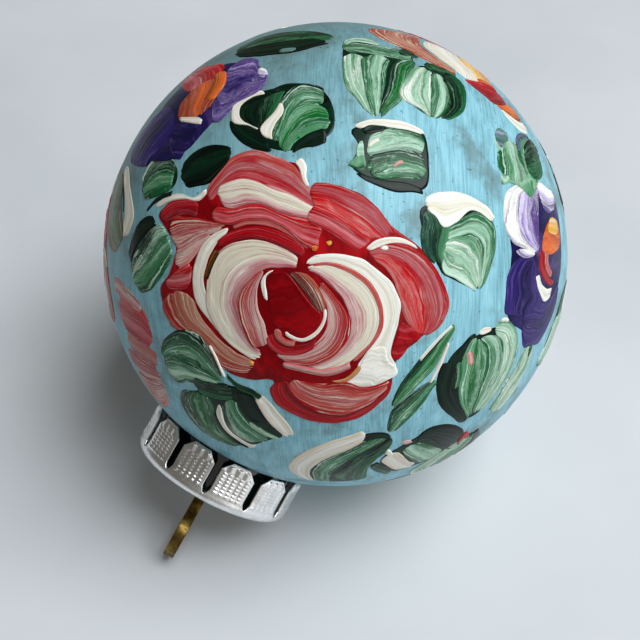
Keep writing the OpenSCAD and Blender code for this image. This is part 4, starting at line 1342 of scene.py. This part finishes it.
# ---------- What is painted again elsewhere ----------
# The rows of a drawing, and the point of it that goes to the middle of the new place
REUSED = {
    "rose": (ROSE, (-6, -5)),
    "pansy": (PANSY, (36, -1)),
    "left_pansy": (LEFT_PANSY, (-25, 27)),
    "leaf_a": (LEAF_A, (-8, 21)),
    "leaf_b": (LEAF_B, (8, 15)),
    "fans": (FANS, (11, 28)),
    "right_leaf": (RIGHT_LEAF, (18, 2)),
    "pale_leaf": (PALE_LEAF, (23, -20)),
    "slim_leaf": (SLIM_LEAF, (13, -19)),
    "neck_leaf": (NECK_LEAF, (0, -37)),
}
PEACH = {
    "base_red": "base_peach", "crimson": "rust", "crimson_pink": "salmon", "pink_fade": "tan",
    "top_petal": "salmon", "red_streaks": "orange", "drop": "rust", "cream_blush": "cream",
}
ROSY = {"base_red": "base_pink", "cream_blush": "blush", "salmon": "tan", "red_streaks": "pink_fade"}


def again(name, lon, lat, roll, scale=1.0, mirror=False, tint=None):
    """A drawing once more at another place on the ball, with some mixes swapped for others."""
    rows, middle = REUSED[name]
    return Place(lon, lat, roll, scale, middle, mirror), rows, tint


# Pieces of paint in the order in which they were painted: node, slot, what is seen from the
# front, and what is repeated elsewhere
WORK = [
    ("front_rose", "rose_paint", ROSE, []),
    ("leaves_under_rose", "leaf_paint", LEAF_A + LEAF_B, []),
    ("fan_leaves", "leaf_paint", FANS, []),
    ("right_leaf", "leaf_paint", RIGHT_LEAF, []),
    ("right_pansy", "pansy_paint", PANSY, []),
    ("pale_leaf", "leaf_paint", PALE_LEAF + LIMB_LEAF, []),
    ("slim_leaf", "leaf_paint", SLIM_LEAF, []),
    ("neck_leaves", "leaf_paint", NECK_LEAF + RIB_LEAF, []),
    ("side_rose", "rose_paint", SIDE_PETALS, [again("rose", 88, 27, 150, 0.8, tint=ROSY)]),
    ("cap_leaves", "leaf_paint", CAP_LEAVES, []),
    ("left_leaves", "leaf_paint", LEFT_LEAVES, []),
    ("left_pansy", "pansy_paint", LEFT_PANSY, []),
    ("low_leaves", "leaf_paint", TOP_LEAF + SMALL_LEAF, [
        again("leaf_a", -78, -50, 80),
        again("pale_leaf", 92, -42, 140, 0.9),
    ]),
    ("bottom_rose", "rose_paint", BOTTOM_PETALS, [again("rose", 180, -80, 60, 0.85, tint=PEACH)]),
    ("back_rose", "rose_paint", [], [again("rose", 172, 8, 20, 0.95, mirror=True)]),
    ("back_pansy", "pansy_paint", [], [
        again("pansy", -118, -22, 60, 1.1),
        again("pansy", 98, -11, 200, mirror=True),
    ]),
    ("back_leaves", "leaf_paint", [], [
        again("pale_leaf", 129, 0, 70),
        again("leaf_b", 142, -26, 20, 1.25),
        again("leaf_a", -158, -34, 140, 1.1),
        again("neck_leaf", -128, 20, 100, mirror=True),
        again("right_leaf", 150, 46, 10, 1.15),
        again("pale_leaf", -152, 46, 160, mirror=True),
        again("leaf_b", -90, 12, 60, 1.1),
        again("slim_leaf", 122, 26, 120),
        again("fans", -90, 40, 30, 0.8),
        again("right_leaf", 112, -30, 200, mirror=True),
        again("leaf_a", 182, -36, 60, 0.9),
        again("slim_leaf", -140, 2, 40, 0.9, mirror=True),
        again("left_pansy", 118, 52, 100, 0.75),
        again("leaf_b", -120, 48, 250, 0.9),
        again("right_leaf", -74, -12, 120, 1.1),
        again("neck_leaf", -98, -38, 40, 0.9),
        again("pale_leaf", -66, 27, 30, 0.75),
        again("slim_leaf", 176, 45, 30, 0.9),
        again("right_leaf", -146, -14, 90, 0.9),
        again("leaf_b", 140, 22, 80, 0.7),
    ]),
]

# ---------- The whole ornament ----------
front = Place(**FRONT)
make_camera(front)
make_floor(front)
make_lights(front)
make_room()

make_hanger()
make_cap()
finish_glass()
make_ground_coat()
for node, slot, seen, repeated in WORK:
    paint = Paint()
    paint.rows(front, seen)
    for place, rows, tint in repeated:
        paint.rows(place, rows, tint)
    paint.piece(node, slot)
